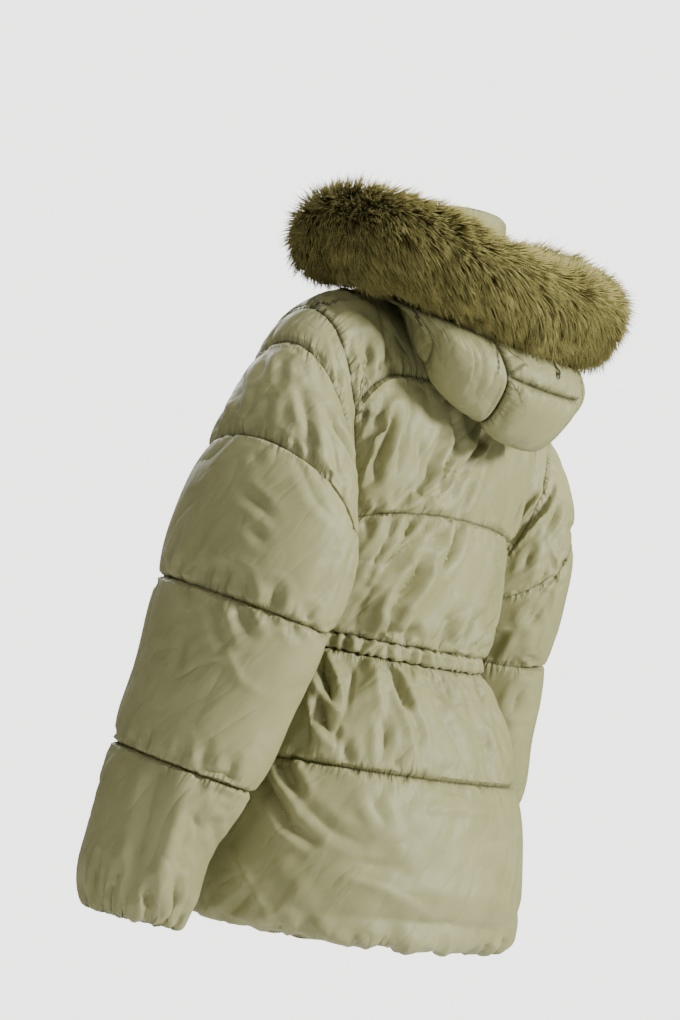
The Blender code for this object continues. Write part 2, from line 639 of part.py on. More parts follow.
def skirt_padding(s, t, back):
    """Height of the skirt's padding above the seam surface, |s| = 1 at the side seam."""
    lines = (0.0, HIP_T, 1.0)
    length = 0.36
    pad = np.full(np.broadcast(s, t).shape, PUFF_SKIRT)
    for low, high in zip(lines[:-1], lines[1:]):
        half = min((high - low) * length / 2, 0.07)
        inside = (t >= low) & (t <= high)
        pad = np.where(inside, pad * swell(np.minimum(t - low, high - t) * length, half), pad)
    pad = pad * swell((1 - np.abs(s)) * 0.30, 0.03)
    arm_side = ease((np.abs(s) - 0.68) / 0.28)
    pad = pad * (1 - 0.70 * arm_side)
    pad = pad + fold_height(FOLDS_SKIRT, s, t) * swell(pad, PUFF_SKIRT)
    waist = ease(t / 0.05) * (1 - ease((t - 0.08) / 0.22))
    return np.maximum(pad + 0.005 * gathers(s, 9, 2.0) * waist, 0.0)


def skirt_panel(name, side, columns):
    """side 0 is the back panel, 1 the left front and -1 the right front."""
    rows = np.concatenate([
        steps((0.0, HIP_T), BAND),
        steps((HIP_T, 0.94), (0.08, 0.28, 0.55, 0.85))[1:], [0.98, 1.0]])
    rows[0] += SEAM / 0.06
    q, t = np.meshgrid(np.linspace(0, 1, columns + 1), rows)
    seam = side_seam(t)
    gap = SEAM / 0.21
    if side == 0:
        turn = (2 * q - 1) * (seam - gap)
        s = 2 * q - 1
    else:
        front = math.pi - CF_HALF / along(SKIRT, "half_x", t)
        turn = side * (seam + gap + (front - seam - gap) * q)
        s = side * (1 - q)
    base = skirt(turn, t)
    n = normals(skirt, turn, t, 1)
    wall(name, base - n * CLOTH, base + n * skirt_padding(s, t, side == 0)[..., None])
    return (base - n * CLOTH)[:, ::-1]


def build_skirt():
    """Builds the three panels; returns the inner points of the left front from its front edge."""
    skirt_panel("back_skirt", 0, 28)
    skirt_panel("right_front_skirt", -1, 13)
    return skirt_panel("left_front_skirt", 1, 13)


def sleeve_padding(turn, v, right):
    """Height of a sleeve's padding. The side that faces the body is thin."""
    lines = (0.0, CAP_V, UPPER_V, ELBOW_V, LOWER_V, 0.98)
    length = 0.78
    pad = np.full(np.broadcast(turn, v).shape, PUFF_SLEEVE)
    for low, high in zip(lines[:-1], lines[1:]):
        half = min((high - low) * length / 2, 0.06)
        inside = (v >= low) & (v <= high)
        pad = np.where(inside, pad * swell(np.minimum(v - low, high - v) * length, half), pad)
    pad = np.where(v > 0.98, 0.0, pad)
    cap = 1 - ease((v - CAP_V) / 0.05)
    pad = pad * (1 - 0.35 * cap)
    inner = ease((-np.cos(turn) - 0.25 + 0.35 * (v < CAP_V)) / 0.6)
    pad = pad * (1 - 0.85 * inner)
    cuff = ease((v - 0.90) / 0.06) * (v < 0.99)
    return np.maximum(pad + 0.004 * np.sin(11 * turn + 0.7 * np.sin(3 * turn)) * cuff, 0.0)


def build_sleeve(name, right):
    columns = 18
    rows = np.concatenate([
        steps((0.0, CAP_V), (0.35, 0.75)),
        steps((CAP_V, UPPER_V, ELBOW_V, LOWER_V), BAND)[1:],
        steps((LOWER_V, 0.98), (0.08, 0.28, 0.55, 0.80))[1:], [1.0]])
    rows[0] += SEAM / 0.40
    turn, v = np.meshgrid(np.arange(columns) * 2 * math.pi / columns, rows)
    base = sleeve(turn, v, right)
    n = normals(lambda a, b: sleeve(a, b, right), turn, v, 1 if right else -1)
    mitre = (1 - ease(v / 0.05)) * ease((np.cos(turn) + 0.9) / 0.6)
    n = lean(n, armhole_outward(turn) * points(-1.0 if right else 1.0, 1.0, 1.0), mitre)
    return wall(name, base - n * CLOTH, base + n * sleeve_padding(turn, v, right)[..., None], ring=True)


def build_collar():
    end = math.pi - math.asin(CF_HALF / NECK_HALF)
    half = np.concatenate([np.linspace(0, math.pi / 2, NECK_COLUMNS + 1),
                           np.linspace(math.pi / 2, end, NECK_COLUMNS + 1)[1:]])
    rows = np.array([0.008, 0.12, 0.35, 0.65, 0.90, 1.0])
    turn, t = np.meshgrid(np.concatenate([-half[:0:-1], half]), rows)
    base = collar(turn, t)
    n = normals(collar, turn, t, -1)
    pad = PUFF_COLLAR * swell((t - 0.12) * 0.10, 0.035) * swell((1 - t) * 0.10, 0.02)
    pad = pad * swell(np.maximum(end - np.abs(turn), 0) * NECK_HALF, 0.015)
    wall("stand_collar", base - n * CLOTH, base + n * pad[..., None])
    return (base - n * CLOTH)[:, ::-1]


def hood_padding(s, t, low, high):
    """Height of a hood panel's padding between its two side seams."""
    across = np.minimum(s - low, high - s)
    pad = PUFF_HOOD * swell(across * 0.30, 0.035) * swell(np.minimum(t, 1 - t) * 0.30, 0.045)
    return pad * ease((t - 0.38) / 0.2) * (1 - ease((np.abs(s) - 0.44) / 0.16))


def hood_panel(name, low, high, columns, quilts=()):
    t_rows = np.array([0.004, 0.12, 0.25, 0.36, 0.44, 0.52, 0.60, 0.68, 0.76, 0.84, 0.92, 0.996])
    s_places = np.linspace(low, high, columns + 1)
    s, t = np.meshgrid(s_places, t_rows)
    base = hood(s, t)
    n = normals(hood, s, t, -1, HOOD_EVEN)
    lines = [low, *quilts, high]
    pad = np.zeros_like(s)
    for a, b in zip(lines[:-1], lines[1:]):
        pad = np.where((s >= a) & (s <= b), hood_padding(s, t, a, b), pad)
    return wall(name, *off_the_fur(base - n * CLOTH, base + n * pad[..., None]))


def build_hood():
    gap = SEAM / 0.35
    hood_panel("hood_centre_panel", -GUSSET_S + gap, GUSSET_S - gap, 8)
    hood_panel("hood_left_panel", GUSSET_S + gap, 1.0, 12, (HOOD_QUILT_S,))
    hood_panel("hood_right_panel", -1.0, -GUSSET_S - gap, 12, (-HOOD_QUILT_S,))


def build_fur():
    """The fur roll, solid as far as the fur reaches, with rounded ends."""
    around, length = 14, 32
    places = np.sin(np.linspace(-1, 1, length + 1) * math.pi / 2)
    places = 0.35 * places + 0.65 * np.linspace(-1, 1, length + 1)
    centre, out, up = fur_frame(places)
    radius = fur_radius(places)
    verts, faces = [], []
    for i in range(length + 1):
        for j in range(around):
            a = 2 * math.pi * j / around
            verts.append(centre[i] + radius[i] * (math.cos(a) * out[i] + math.sin(a) * up[i]))
    for i in range(length):
        for j in range(around):
            k = (j + 1) % around
            faces.append((i * around + j, i * around + k, (i + 1) * around + k, (i + 1) * around + j))
    for end, i in ((-1, 0), (1, length)):
        ahead = centre[i] - centre[i - end]
        ahead = ahead / np.linalg.norm(ahead)
        ring = len(verts)
        for j in range(around):
            a = 2 * math.pi * j / around
            verts.append(centre[i] + ahead * radius[i] * 0.45
                         + radius[i] * 0.66 * (math.cos(a) * out[i] + math.sin(a) * up[i]))
        tip = len(verts)
        verts.append(centre[i] + ahead * radius[i] * 0.62)
        for j in range(around):
            k = (j + 1) % around
            faces.append((i * around + j, i * around + k, ring + k, ring + j))
            faces.append((ring + j, ring + k, tip))
    return fill(piece("fur_trim", FUR_COLOUR, 0.9), verts, faces)


# ---------------------------------------------------------------- front zip
def behind_fronts(grids):
    """Two lines just behind the left front's inner side, at the zip tape's two edges.

    Each grid holds a piece's inner points, its first two columns next to the front edge."""
    rows = np.concatenate([grid[:, :2] for grid in grids])
    first, second = rows[:, 0], rows[:, 1]
    lines = []
    for x in (TAPE_EDGE, TAPE_EDGE + TAPE_WIDTH):
        share = ((x - first[:, 0]) / (second[:, 0] - first[:, 0]))[:, None]
        lines.append(first + (second - first) * share)
    ahead = np.gradient(lines[0], axis=0)
    inward = np.cross((1.0, 0.0, 0.0), ahead)
    return lines, inward / np.linalg.norm(inward, axis=1, keepdims=True)


def strip(name, edges, colour, roughness, metallic=0.0):
    """A flat strip through four lines, the corners of its section in order."""
    verts = np.stack(edges, 1).reshape(-1, 3)
    faces = [(0, 1, 2, 3)]
    for i in range(len(edges[0]) - 1):
        for j in range(4):
            k = (j + 1) % 4
            faces.append((4 * i + j, 4 * i + k, 4 * i + 4 + k, 4 * i + 4 + j))
    last = len(verts) - 4
    faces.append((last, last + 1, last + 2, last + 3))
    return fill(piece(name, colour, roughness, metallic), verts, faces, 30)


def combine(obj, other, operation="UNION"):
    """Applies a boolean with another object and removes that object."""
    modifier = obj.modifiers.new("combine", "BOOLEAN")
    modifier.operation = operation
    modifier.solver = "EXACT"
    modifier.object = other
    graph = bpy.context.evaluated_depsgraph_get()
    mesh = bpy.data.meshes.new_from_object(obj.evaluated_get(graph))
    obj.modifiers.clear()
    obj.data = mesh
    bpy.data.objects.remove(other, do_unlink=True)
    return obj


def block(name, low, high, colour, roughness, metallic):
    verts = [(x, y, z) for x in (low[0], high[0]) for y in (low[1], high[1]) for z in (low[2], high[2])]
    faces = [(0, 1, 3, 2), (4, 6, 7, 5), (0, 4, 5, 1), (2, 3, 7, 6), (0, 2, 6, 4), (1, 5, 7, 3)]
    return fill(piece(name, colour, roughness, metallic), verts, faces, 30)


def rod_x(name, radius, half, y, z, colour, roughness, metallic, sides=16):
    """A round rod along X."""
    verts, faces = [], []
    for x in (-half, half):
        for j in range(sides):
            a = 2 * math.pi * j / sides
            verts.append((x, y + radius * math.cos(a), z + radius * math.sin(a)))
    for j in range(sides):
        k = (j + 1) % sides
        faces.append((j, k, sides + k, sides + j))
    faces.append(tuple(range(sides)))
    faces.append(tuple(range(sides, 2 * sides)))
    return fill(piece(name, colour, roughness, metallic), verts, faces, 30)


def build_zip(grids):
    (near, far), inward = behind_fronts(grids)
    for name, side in (("zip_tape_left", 1), ("zip_tape_right", -1)):
        corners = [near + inward * ZIP_GAP, far + inward * ZIP_GAP,
                   far + inward * (ZIP_GAP + TAPE_THICK), near + inward * (ZIP_GAP + TAPE_THICK)]
        strip(name, [c * points(side, 1.0, 1.0) for c in corners], TAPE_COLOUR, 0.6)
    back = near * points(0.0, 1.0, 1.0) + inward * (ZIP_GAP - 2 * SEAM)
    front = back - inward * CHAIN_THICK
    across = points(CHAIN_HALF, 0.0, 0.0)
    metal = (METAL_COLOUR, 0.35, 0.9)
    strip("zip_chain", [front - across, front + across, back + across, back - across], *metal)
    low_z, high_z = SLIDER_Z - SLIDER_TALL / 2, SLIDER_Z + SLIDER_TALL / 2
    beside = np.linspace(low_z, high_z, 9)
    rising = front[::-1] if front[0, 2] > front[-1, 2] else front
    face_y = np.interp(beside, rising[:, 2], rising[:, 1]).min() - 2 * SEAM
    front_y = face_y - SLIDER_THICK
    slider = block("zip_slider", (-SLIDER_HALF, front_y, low_z), (SLIDER_HALF, face_y, high_z), *metal)
    pin_y = front_y - EYE_RADIUS - 3 * SEAM
    pin_z = SLIDER_Z
    ear_in = TAB_HALF + 2 * SEAM
    for side in (-1, 1):
        ear = block("ear", (min(side * ear_in, side * SLIDER_HALF), pin_y - PIN_RADIUS * 1.6, pin_z - 0.002),
                    (max(side * ear_in, side * SLIDER_HALF), front_y + 0.0004, pin_z + 0.002), *metal)
        combine(slider, ear)
    combine(slider, rod_x("pin", PIN_RADIUS, SLIDER_HALF - 0.0003, pin_y, pin_z, *metal))
    slider.data.shade_smooth()
    slider.data.set_sharp_from_angle(angle=math.radians(30))
    tab = rod_x("zip_pull_tab", EYE_RADIUS, TAB_HALF, pin_y, pin_z, *metal)
    blade = block("blade", (-TAB_HALF, pin_y - TAB_THICK / 2, pin_z - TAB_LONG),
                  (TAB_HALF, pin_y + TAB_THICK / 2, pin_z - EYE_HOLE), *metal)
    combine(tab, blade)
    combine(tab, rod_x("hole", EYE_HOLE, TAB_HALF * 2, pin_y, pin_z, *metal), "DIFFERENCE")
    tab.data.shade_smooth()
    tab.data.set_sharp_from_angle(angle=math.radians(30))


# ---------------------------------------------------------------- hood eyelet and cord
HOOD_CORD = table("out lift", [        # from the eyelet's middle towards the fur, and off the cloth
    (0.0000, 0.0014),
    (0.0012, 0.0030),
    (0.0044, 0.0033),
    (0.0078, 0.0023),
    (0.0110, 0.0013),
    (0.0150, 0.0012),
])
CORD_SIDES, RING_SIDES = 8, 16


def ring(name, profile, centre, axis, colour, roughness, metallic):
    """A ring turned about an axis, from the (radius, height) corners of its section."""
    across = np.cross(axis, (1.0, 0.0, 0.0))
    across = across / np.linalg.norm(across)
    third = np.cross(axis, across)
    verts, faces = [], []
    count = len(profile)
    for radius, height in profile:
        for j in range(RING_SIDES):
            a = 2 * math.pi * j / RING_SIDES
            verts.append(centre + axis * height + radius * (math.cos(a) * across + math.sin(a) * third))
    for i in range(count):
        m = (i + 1) % count
        for j in range(RING_SIDES):
            k = (j + 1) % RING_SIDES
            faces.append((i * RING_SIDES + j, i * RING_SIDES + k, m * RING_SIDES + k, m * RING_SIDES + j))
    return fill(piece(name, colour, roughness, metallic), verts, faces, 40)


def tube(name, path, radius, colour, roughness):
    """A round cord along a path."""
    ahead = np.gradient(path, axis=0)
    ahead = ahead / np.linalg.norm(ahead, axis=1, keepdims=True)
    across = np.cross(ahead, (1.0, 0.0, 0.0))
    across = across / np.linalg.norm(across, axis=1, keepdims=True)
    third = np.cross(ahead, across)
    verts, faces = [], []
    for p, u, w in zip(path, across, third):
        for j in range(CORD_SIDES):
            a = 2 * math.pi * j / CORD_SIDES
            verts.append(p + radius * (math.cos(a) * u + math.sin(a) * w))
    for i in range(len(path) - 1):
        for j in range(CORD_SIDES):
            k = (j + 1) % CORD_SIDES
            row, after = i * CORD_SIDES, (i + 1) * CORD_SIDES
            faces.append((row + j, row + k, after + k, after + j))
    faces.append(tuple(range(CORD_SIDES)))
    faces.append(tuple(range(len(verts) - CORD_SIDES, len(verts))))
    return fill(piece(name, colour, roughness), verts, faces, 50)


def build_hood_cord():
    """The eyelet on the hood's centre panel, and the cord from it to the fur."""
    out, lift = HOOD_CORD["out"], HOOD_CORD["lift"]
    s = np.full_like(out, HOOD_EYELET_S)
    t = HOOD_EYELET_T + out / HOOD_T_LENGTH
    n = normals(hood, s, t, -1, HOOD_EVEN)
    cloth = hood(s, t) + n * hood_padding(s, t, -GUSSET_S, GUSSET_S)[:, None]
    seat = cloth[0] + n[0] * EYELET_SEAT
    corners = [(EYELET_HOLE, 0.0), (EYELET_RADIUS - 0.0003, 0.0), (EYELET_RADIUS, 0.0004),
               (EYELET_RADIUS - 0.0008, EYELET_THICK), (EYELET_HOLE + 0.0006, EYELET_THICK),
               (EYELET_HOLE, 0.0009)]
    ring("hood_eyelet", corners, seat, n[0], METAL_COLOUR, 0.35, 0.9)
    tube("hood_cord", cloth + n * lift[:, None], CORD_RADIUS, CORD_COLOUR, 0.8)


def main():
    for old in list(bpy.data.objects):
        bpy.data.objects.remove(old, do_unlink=True)
    grids = [build_collar()[::-1], build_bodice(), build_casing(), build_skirt()]
    build_sleeve("left_sleeve", False)
    build_sleeve("right_sleeve", True)
    build_hood()
    build_fur()
    build_zip(grids)
    build_hood_cord()


main()
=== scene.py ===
"""Looks of the fur trimmed parka: quilted olive nylon panels blown up between their sewing
lines by a cloth simulation, a ruched waist casing, a hood with a thick fur roll, stitches,
and a front zip. Metres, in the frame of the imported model: +X the wearer's left, -Y the front.
"""
import math

import bmesh
import bpy
import numpy as np
from mathutils import Matrix, Vector


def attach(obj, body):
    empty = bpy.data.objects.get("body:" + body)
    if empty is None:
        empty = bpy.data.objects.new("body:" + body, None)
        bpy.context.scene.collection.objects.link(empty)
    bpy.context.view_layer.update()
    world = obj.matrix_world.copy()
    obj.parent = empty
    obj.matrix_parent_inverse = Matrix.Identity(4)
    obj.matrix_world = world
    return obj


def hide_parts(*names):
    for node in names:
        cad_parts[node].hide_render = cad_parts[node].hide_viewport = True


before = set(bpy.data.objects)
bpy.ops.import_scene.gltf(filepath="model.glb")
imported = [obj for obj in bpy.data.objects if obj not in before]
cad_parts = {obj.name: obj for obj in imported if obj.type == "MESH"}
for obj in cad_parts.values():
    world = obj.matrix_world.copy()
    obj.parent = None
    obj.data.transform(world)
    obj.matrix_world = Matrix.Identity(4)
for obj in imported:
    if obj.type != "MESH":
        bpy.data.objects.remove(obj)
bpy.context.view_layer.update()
BODY = "parka"


# ---------------- sizes of the cut (metres)
SEAM = 0.00015
CLOTH = 0.003
CF_HALF = 0.005
NECK_HALF, NECK_BACK, NECK_FRONT = 0.078, 0.090, -0.068
NECK_DROP, NECK_SIDE_Y = 0.036, 0.012
SHOULDER_X, SHOULDER_Y, SHOULDER_Z = 0.224, 0.010, -0.056
UNDERARM_X, UNDERARM_Z, UNDERARM_T = 0.158, -0.325, 0.78
ARMHOLE_BACK, ARMHOLE_FRONT = 0.070, 0.074
CASING_TOP, CASING_BOTTOM = -0.414, -0.433
WAIST_HALF, WAIST_BACK, WAIST_FRONT = 0.163, 0.131, -0.116
HEM_Z, WAIST_TILT = -0.764, 0.008
YOKE_T, CHEST_T, HIP_T = 0.27, 0.62, 0.38
PUFF_BODY, PUFF_SKIRT, PUFF_SLEEVE = 0.014, 0.014, 0.011
PUFF_HOOD, PUFF_COLLAR = 0.012, 0.007
HOOD_FREE = 0.35
YOKE_DIP = 0.072           # the yoke line drops this share of the back beside the left armhole
HOOD_CROSS_T = 0.79        # the sewing line across the hood's centre panel
EYELET_S, EYELET_T, HOOD_T_LENGTH = 0.03, 0.885, 0.20       # the hood's eyelet on its centre panel
BODICE_LONG, SKIRT_LONG, SLEEVE_LONG = 0.41, 0.36, 0.78     # cloth down each piece
BODICE_WIDE, SKIRT_WIDE, HOOD_LONG, COLLAR_LONG = 0.22, 0.30, 0.30, 0.10    # for a step of 1 across
HEM_T = 0.97              # the sewing line of the hem


# ---------------- tables and curves
def table(names, rows):
    """A table as a dictionary of columns."""
    return dict(zip(names.split(), np.array(rows, float).T))


def along(tab, name, x):
    """Column `name` of a table at x, read from a smooth cubic; the first column is the key."""
    key, val = next(iter(tab.values())), tab[name]
    slope = np.gradient(val, key)
    x = np.clip(x, key[0], key[-1])
    i = np.clip(np.searchsorted(key, x, side="right") - 1, 0, len(key) - 2)
    h = key[i + 1] - key[i]
    return cubic((x - key[i]) / h, h, val[i], slope[i], val[i + 1], slope[i + 1])


def ease(x):
    """Smooth step from 0 at x=0 to 1 at x=1."""
    x = np.clip(x, 0.0, 1.0)
    return x * x * (3 - 2 * x)


def swell(distance, reach):
    """Height of padding, 0 at a sewing line and 1 from `reach` away, round as a cushion."""
    x = np.clip(distance / reach, 0.0, 1.0)
    return np.sqrt(np.maximum(0.0, 1 - (1 - x)**2))


def points(x, y, z):
    return np.stack(np.broadcast_arrays(x, y, z), -1)


def unit(v):
    return v / np.maximum(np.linalg.norm(v, axis=-1, keepdims=True), 1e-12)


def cubic(u, h, low, low_slope, high, high_slope):
    """Smooth cubic between two values with the given slopes, at u from 0 to 1 of a step h."""
    return ((2 * u**3 - 3 * u**2 + 1) * low + (u**3 - 2 * u**2 + u) * h * low_slope
            + (3 * u**2 - 2 * u**3) * high + (u**3 - u**2) * h * high_slope)


def mirrored(s):
    """Factors that mirror a form in x where s is negative."""
    return points(np.sign(s + 1e-12), 1.0, 1.0)


def walk(line):
    """Distance walked along a line of points, at each of them."""
    return np.concatenate([[0.0], np.cumsum(np.linalg.norm(np.diff(line, axis=0), axis=1))])


def read_at(at, far, values):
    """Vectors known at the distances `far` along a line, read at the distances `at`."""
    return np.stack([np.interp(at, far, column) for column in values.T], -1)


def banded(place, lines, length, height, furthest=1.0):
    """Padding between sewing lines: full from the middle of a band, or from `furthest` away."""
    pad = np.full(place.shape, height)
    for low, high in zip(lines[:-1], lines[1:]):
        half = min((high - low) * length / 2, furthest)
        inside = (place >= low) & (place <= high)
        pad = np.where(inside, pad * swell(np.minimum(place - low, high - place) * length, half), pad)
    return pad


# ---------------- bodice
MIDDLE_BACK = table("t y z square", [
    (0.00, NECK_BACK, 0.000, 0.00),
    (0.12, 0.104, -0.048, 0.02),
    (YOKE_T, 0.113, -0.108, 0.03),
    (0.45, 0.119, -0.185, 0.05),
    (CHEST_T, 0.120, -0.262, 0.08),
    (UNDERARM_T, 0.118, -0.330, 0.09),
    (1.00, WAIST_BACK - 0.002, CASING_TOP, 0.04),
])
MIDDLE_FRONT = table("t y z square", [
    (0.00, NECK_FRONT, -NECK_DROP, 0.00),
    (0.12, -0.090, -0.078, 0.02),
    (YOKE_T, -0.110, -0.130, 0.03),
    (0.45, -0.124, -0.195, 0.05),
    (CHEST_T, -0.128, -0.265, 0.08),
    (UNDERARM_T, -0.124, -0.330, 0.09),
    (1.00, WAIST_FRONT + 0.001, CASING_TOP, 0.04),
])
NECK_SHARE = 0.42         # share of a panel's half width that lies on the neck edge


def armhole_reach(angle):
    """How far the armhole stands behind (+) or in front of its middle line, over sin(angle)."""
    return np.where(np.sin(angle) >= 0, ARMHOLE_BACK, ARMHOLE_FRONT)


def armhole(angle):
    """Left armhole seam. angle 0 is the shoulder point, pi/2 the back, pi the underarm."""
    drop = (1 - np.cos(angle)) / 2
    return points(SHOULDER_X + (UNDERARM_X - SHOULDER_X) * drop,
                  SHOULDER_Y * (1 - drop) + armhole_reach(angle) * np.sin(angle),
                  SHOULDER_Z + (UNDERARM_Z - SHOULDER_Z) * drop)


def armhole_outward(angle):
    """Direction in the armhole's own plane, square to its edge: both rims lie along it."""
    tall = np.array([SHOULDER_X - UNDERARM_X, SHOULDER_Y, SHOULDER_Z - UNDERARM_Z]) / 2
    half = np.linalg.norm(tall)
    along_tall = (np.cos(angle) * armhole_reach(angle))[..., None] * tall / half
    return unit(along_tall + points(0, half * np.sin(angle), 0))


def bodice_edge(t, back):
    """Left edge of a bodice panel: down the armhole to the underarm, then the side seam."""
    angle = math.pi * np.clip(t / UNDERARM_T, 0, 1) * (1 if back else -1)
    upper = armhole(angle)
    f = np.clip((t - UNDERARM_T) / (1 - UNDERARM_T), 0, 1)
    side = points(UNDERARM_X + (WAIST_HALF - UNDERARM_X) * f, 0 * f,
                  UNDERARM_Z + (CASING_TOP - UNDERARM_Z) * f)
    return np.where((t <= UNDERARM_T)[..., None], upper, side)


def waist_tilt(turn):
    """How far the waist line stands above (+) or below its level at the side seams."""
    return -WAIST_TILT * np.cos(turn)


def bodice_row(q, t, back):
    """A level line of the bodice, q from 0 at the middle to 1 at the left edge."""
    mid = MIDDLE_BACK if back else MIDDLE_FRONT
    edge = bodice_edge(t, back)
    widest = np.radians(62 + 28 * ease((t - 0.35) / (UNDERARM_T - 0.35)))
    turn = q * widest
    full = 1 + along(mid, "square", t) * np.sin(math.pi * q)**2
    x = edge[..., 0] * np.sin(turn) / np.sin(widest) * full
    share = (np.cos(turn) - np.cos(widest)) / (1 - np.cos(widest)) * full
    y = edge[..., 1] + (along(mid, "y", t) - edge[..., 1]) * share
    z_mid = along(mid, "z", t)
    tilt = waist_tilt(q * math.pi / 2) * ease((t - CHEST_T) / (1 - CHEST_T)) * (1 if back else -1)
    return points(x, y, z_mid + (edge[..., 2] - z_mid) * q**2.2 + tilt)


def bodice_top(q, back):
    """Top edge of a bodice panel: half the neck opening, then the shoulder seam."""
    reach, drop = (NECK_BACK, 0.0) if back else (NECK_FRONT, NECK_DROP)
    side_y = NECK_SIDE_Y
    a = np.clip(q / NECK_SHARE, 0, 1) * math.pi / 2
    neck = points(NECK_HALF * np.sin(a), side_y + (reach - side_y) * np.cos(a), -drop * np.cos(a)**2)
    f = np.clip((q - NECK_SHARE) / (1 - NECK_SHARE), 0, 1)
    seam = points(NECK_HALF + (SHOULDER_X - NECK_HALF) * f, side_y + (SHOULDER_Y - side_y) * f,
                  SHOULDER_Z * f + 0.010 * np.sin(math.pi * f))
    return np.where((q <= NECK_SHARE)[..., None], neck, seam)


def bodice(s, t, back):
    """Seam surface of the bodice, s from -1 at the right edge to 1 at the left."""
    q = np.abs(s)
    fade = 1 - ease(t / (0.42 if back else 0.32))
    p = bodice_row(q, t, back) + (bodice_top(q, back) - bodice_row(q, 0 * t, back)) * fade[..., None]
    p = p - points(SEAM * ease((q - 0.9) / 0.1) * (t < UNDERARM_T), 0.0, 0.0)
    return p * mirrored(s)


# ---------------- waist casing and skirt
SKIRT = table("t half_x back_y front_y z", [
    (0.00, WAIST_HALF, WAIST_BACK, WAIST_FRONT, CASING_BOTTOM),
    (0.16, 0.180, 0.157, -0.140, -0.492),
    (HIP_T, 0.200, 0.192, -0.163, -0.570),
    (0.62, 0.211, 0.211, -0.174, -0.662),
    (0.82, 0.216, 0.216, -0.178, -0.730),
    (0.94, 0.212, 0.210, -0.174, HEM_Z),
    (1.00, 0.200, 0.198, -0.162, HEM_Z + 0.002),
])
SKIRT_SQUARE = 0.05
SIDE_SWING = math.radians(15)


def skirt(turn, t):
    """Seam surface of the skirt. turn 0 is the back, pi/2 the left, pi the front."""
    full = 1 + SKIRT_SQUARE * ease(t / 0.4) * np.sin(2 * turn)**2
    reach = np.where(np.cos(turn) >= 0, along(SKIRT, "back_y", t), -along(SKIRT, "front_y", t))
    tilt = waist_tilt(turn) * (1 - ease(t / HIP_T))
    return points(along(SKIRT, "half_x", t) * np.sin(turn) * full, reach * np.cos(turn) * full,
                  along(SKIRT, "z", t) + tilt)


def side_seam(t):
    """Where the skirt's side seam runs: it swings forward towards the hem."""
    return math.pi / 2 + SIDE_SWING * ease(t)


def casing(turn, t):
    """Seam surface of the waist casing. turn 0 is the back, pi/2 the left, pi the front."""
    reach = np.where(np.cos(turn) >= 0, WAIST_BACK - 0.001, -WAIST_FRONT)
    z = CASING_TOP + (CASING_BOTTOM - CASING_TOP) * t + waist_tilt(turn)
    return points(WAIST_HALF * np.sin(turn), reach * np.cos(turn), z)


# ---------------- sleeves
SLEEVE = table("v out_x out_z in_x in_z mid_y reach_y tilt swing", [
    (0.00, SHOULDER_X, SHOULDER_Z, UNDERARM_X, UNDERARM_Z, 0.003, 0.070, 0.00, 0.000),
    (0.10, 0.252, -0.099, 0.163, -0.331, 0.010, 0.077, 0.02, 0.000),
    (0.18, 0.279, -0.153, 0.169, -0.338, 0.018, 0.085, 0.05, 0.003),
    (0.28, 0.304, -0.216, 0.173, -0.347, 0.022, 0.098, 0.08, -0.006),
    (0.39, 0.325, -0.294, 0.180, -0.372, 0.022, 0.107, 0.12, -0.028),
    (0.50, 0.339, -0.394, 0.194, -0.414, 0.015, 0.106, 0.15, -0.038),
    (0.62, 0.345, -0.490, 0.216, -0.505, 0.005, 0.092, 0.15, -0.028),
    (0.76, 0.359, -0.588, 0.240, -0.602, -0.009, 0.087, 0.15, -0.020),
    (0.86, 0.364, -0.668, 0.256, -0.678, -0.026, 0.069, 0.12, -0.016),
    (0.94, 0.364, -0.735, 0.264, -0.742, -0.034, 0.063, 0.08, -0.014),
    (0.98, 0.356, -0.770, 0.273, -0.774, -0.036, 0.052, 0.05, -0.014),
    (1.00, 0.348, -0.768, 0.281, -0.772, -0.036, 0.043, 0.05, -0.014),
])
CAP_V, UPPER_V, ELBOW_V, LOWER_V, CUFF_V = 0.10, 0.28, 0.50, 0.76, 0.98      # sewing lines


def sleeve(turn, v, right):
    """Seam surface of a sleeve. turn 0 is the outer side, pi/2 the back, pi the inner side."""
    out_x, out_z, in_x, in_z = (along(SLEEVE, c, v) for c in ("out_x", "out_z", "in_x", "in_z"))
    blend = ease(v / CAP_V)
    share = np.cos(turn)
    reach = armhole_reach(turn) * (1 - blend) + along(SLEEVE, "reach_y", v) * blend
    mid_y = (SHOULDER_Y * (1 + share) / 2 * (1 - blend) + along(SLEEVE, "mid_y", v) * blend
             + (along(SLEEVE, "swing", v) if right else 0.0))
    x = (out_x + in_x) / 2 + (out_x - in_x) / 2 * share + SEAM * (1 - ease(v / 0.05))
    z = (out_z + in_z) / 2 + (out_z - in_z) / 2 * share - along(SLEEVE, "tilt", v) * reach * np.sin(turn)
    return points(-x if right else x, mid_y + reach * np.sin(turn), z)


# ---------------- collar
COLLAR = table("t half_x back_y front_y rise", [
    (0.0, NECK_HALF, NECK_BACK, NECK_FRONT, 0.000),
    (0.5, 0.075, 0.088, -0.067, 0.055),
    (1.0, 0.074, 0.092, -0.066, 0.108),
])
COLLAR_FRONT_SHARE = 0.70       # the collar is lower in front by this share


def collar(turn, t):
    """Seam surface of the stand collar. turn 0 is the back, pi/2 the left, pi the front."""
    mid = NECK_SIDE_Y
    reach = np.where(np.cos(turn) >= 0, along(COLLAR, "back_y", t) - mid, mid - along(COLLAR, "front_y", t))
    front = ease(0.5 - np.cos(turn) / 2)
    foot = -NECK_DROP * np.where(np.cos(turn) < 0, np.cos(turn)**2, 0)
    z = foot + along(COLLAR, "rise", t) * (1 - (1 - COLLAR_FRONT_SHARE) * front)
    return points(along(COLLAR, "half_x", t) * np.sin(turn), mid + reach * np.cos(turn), z)


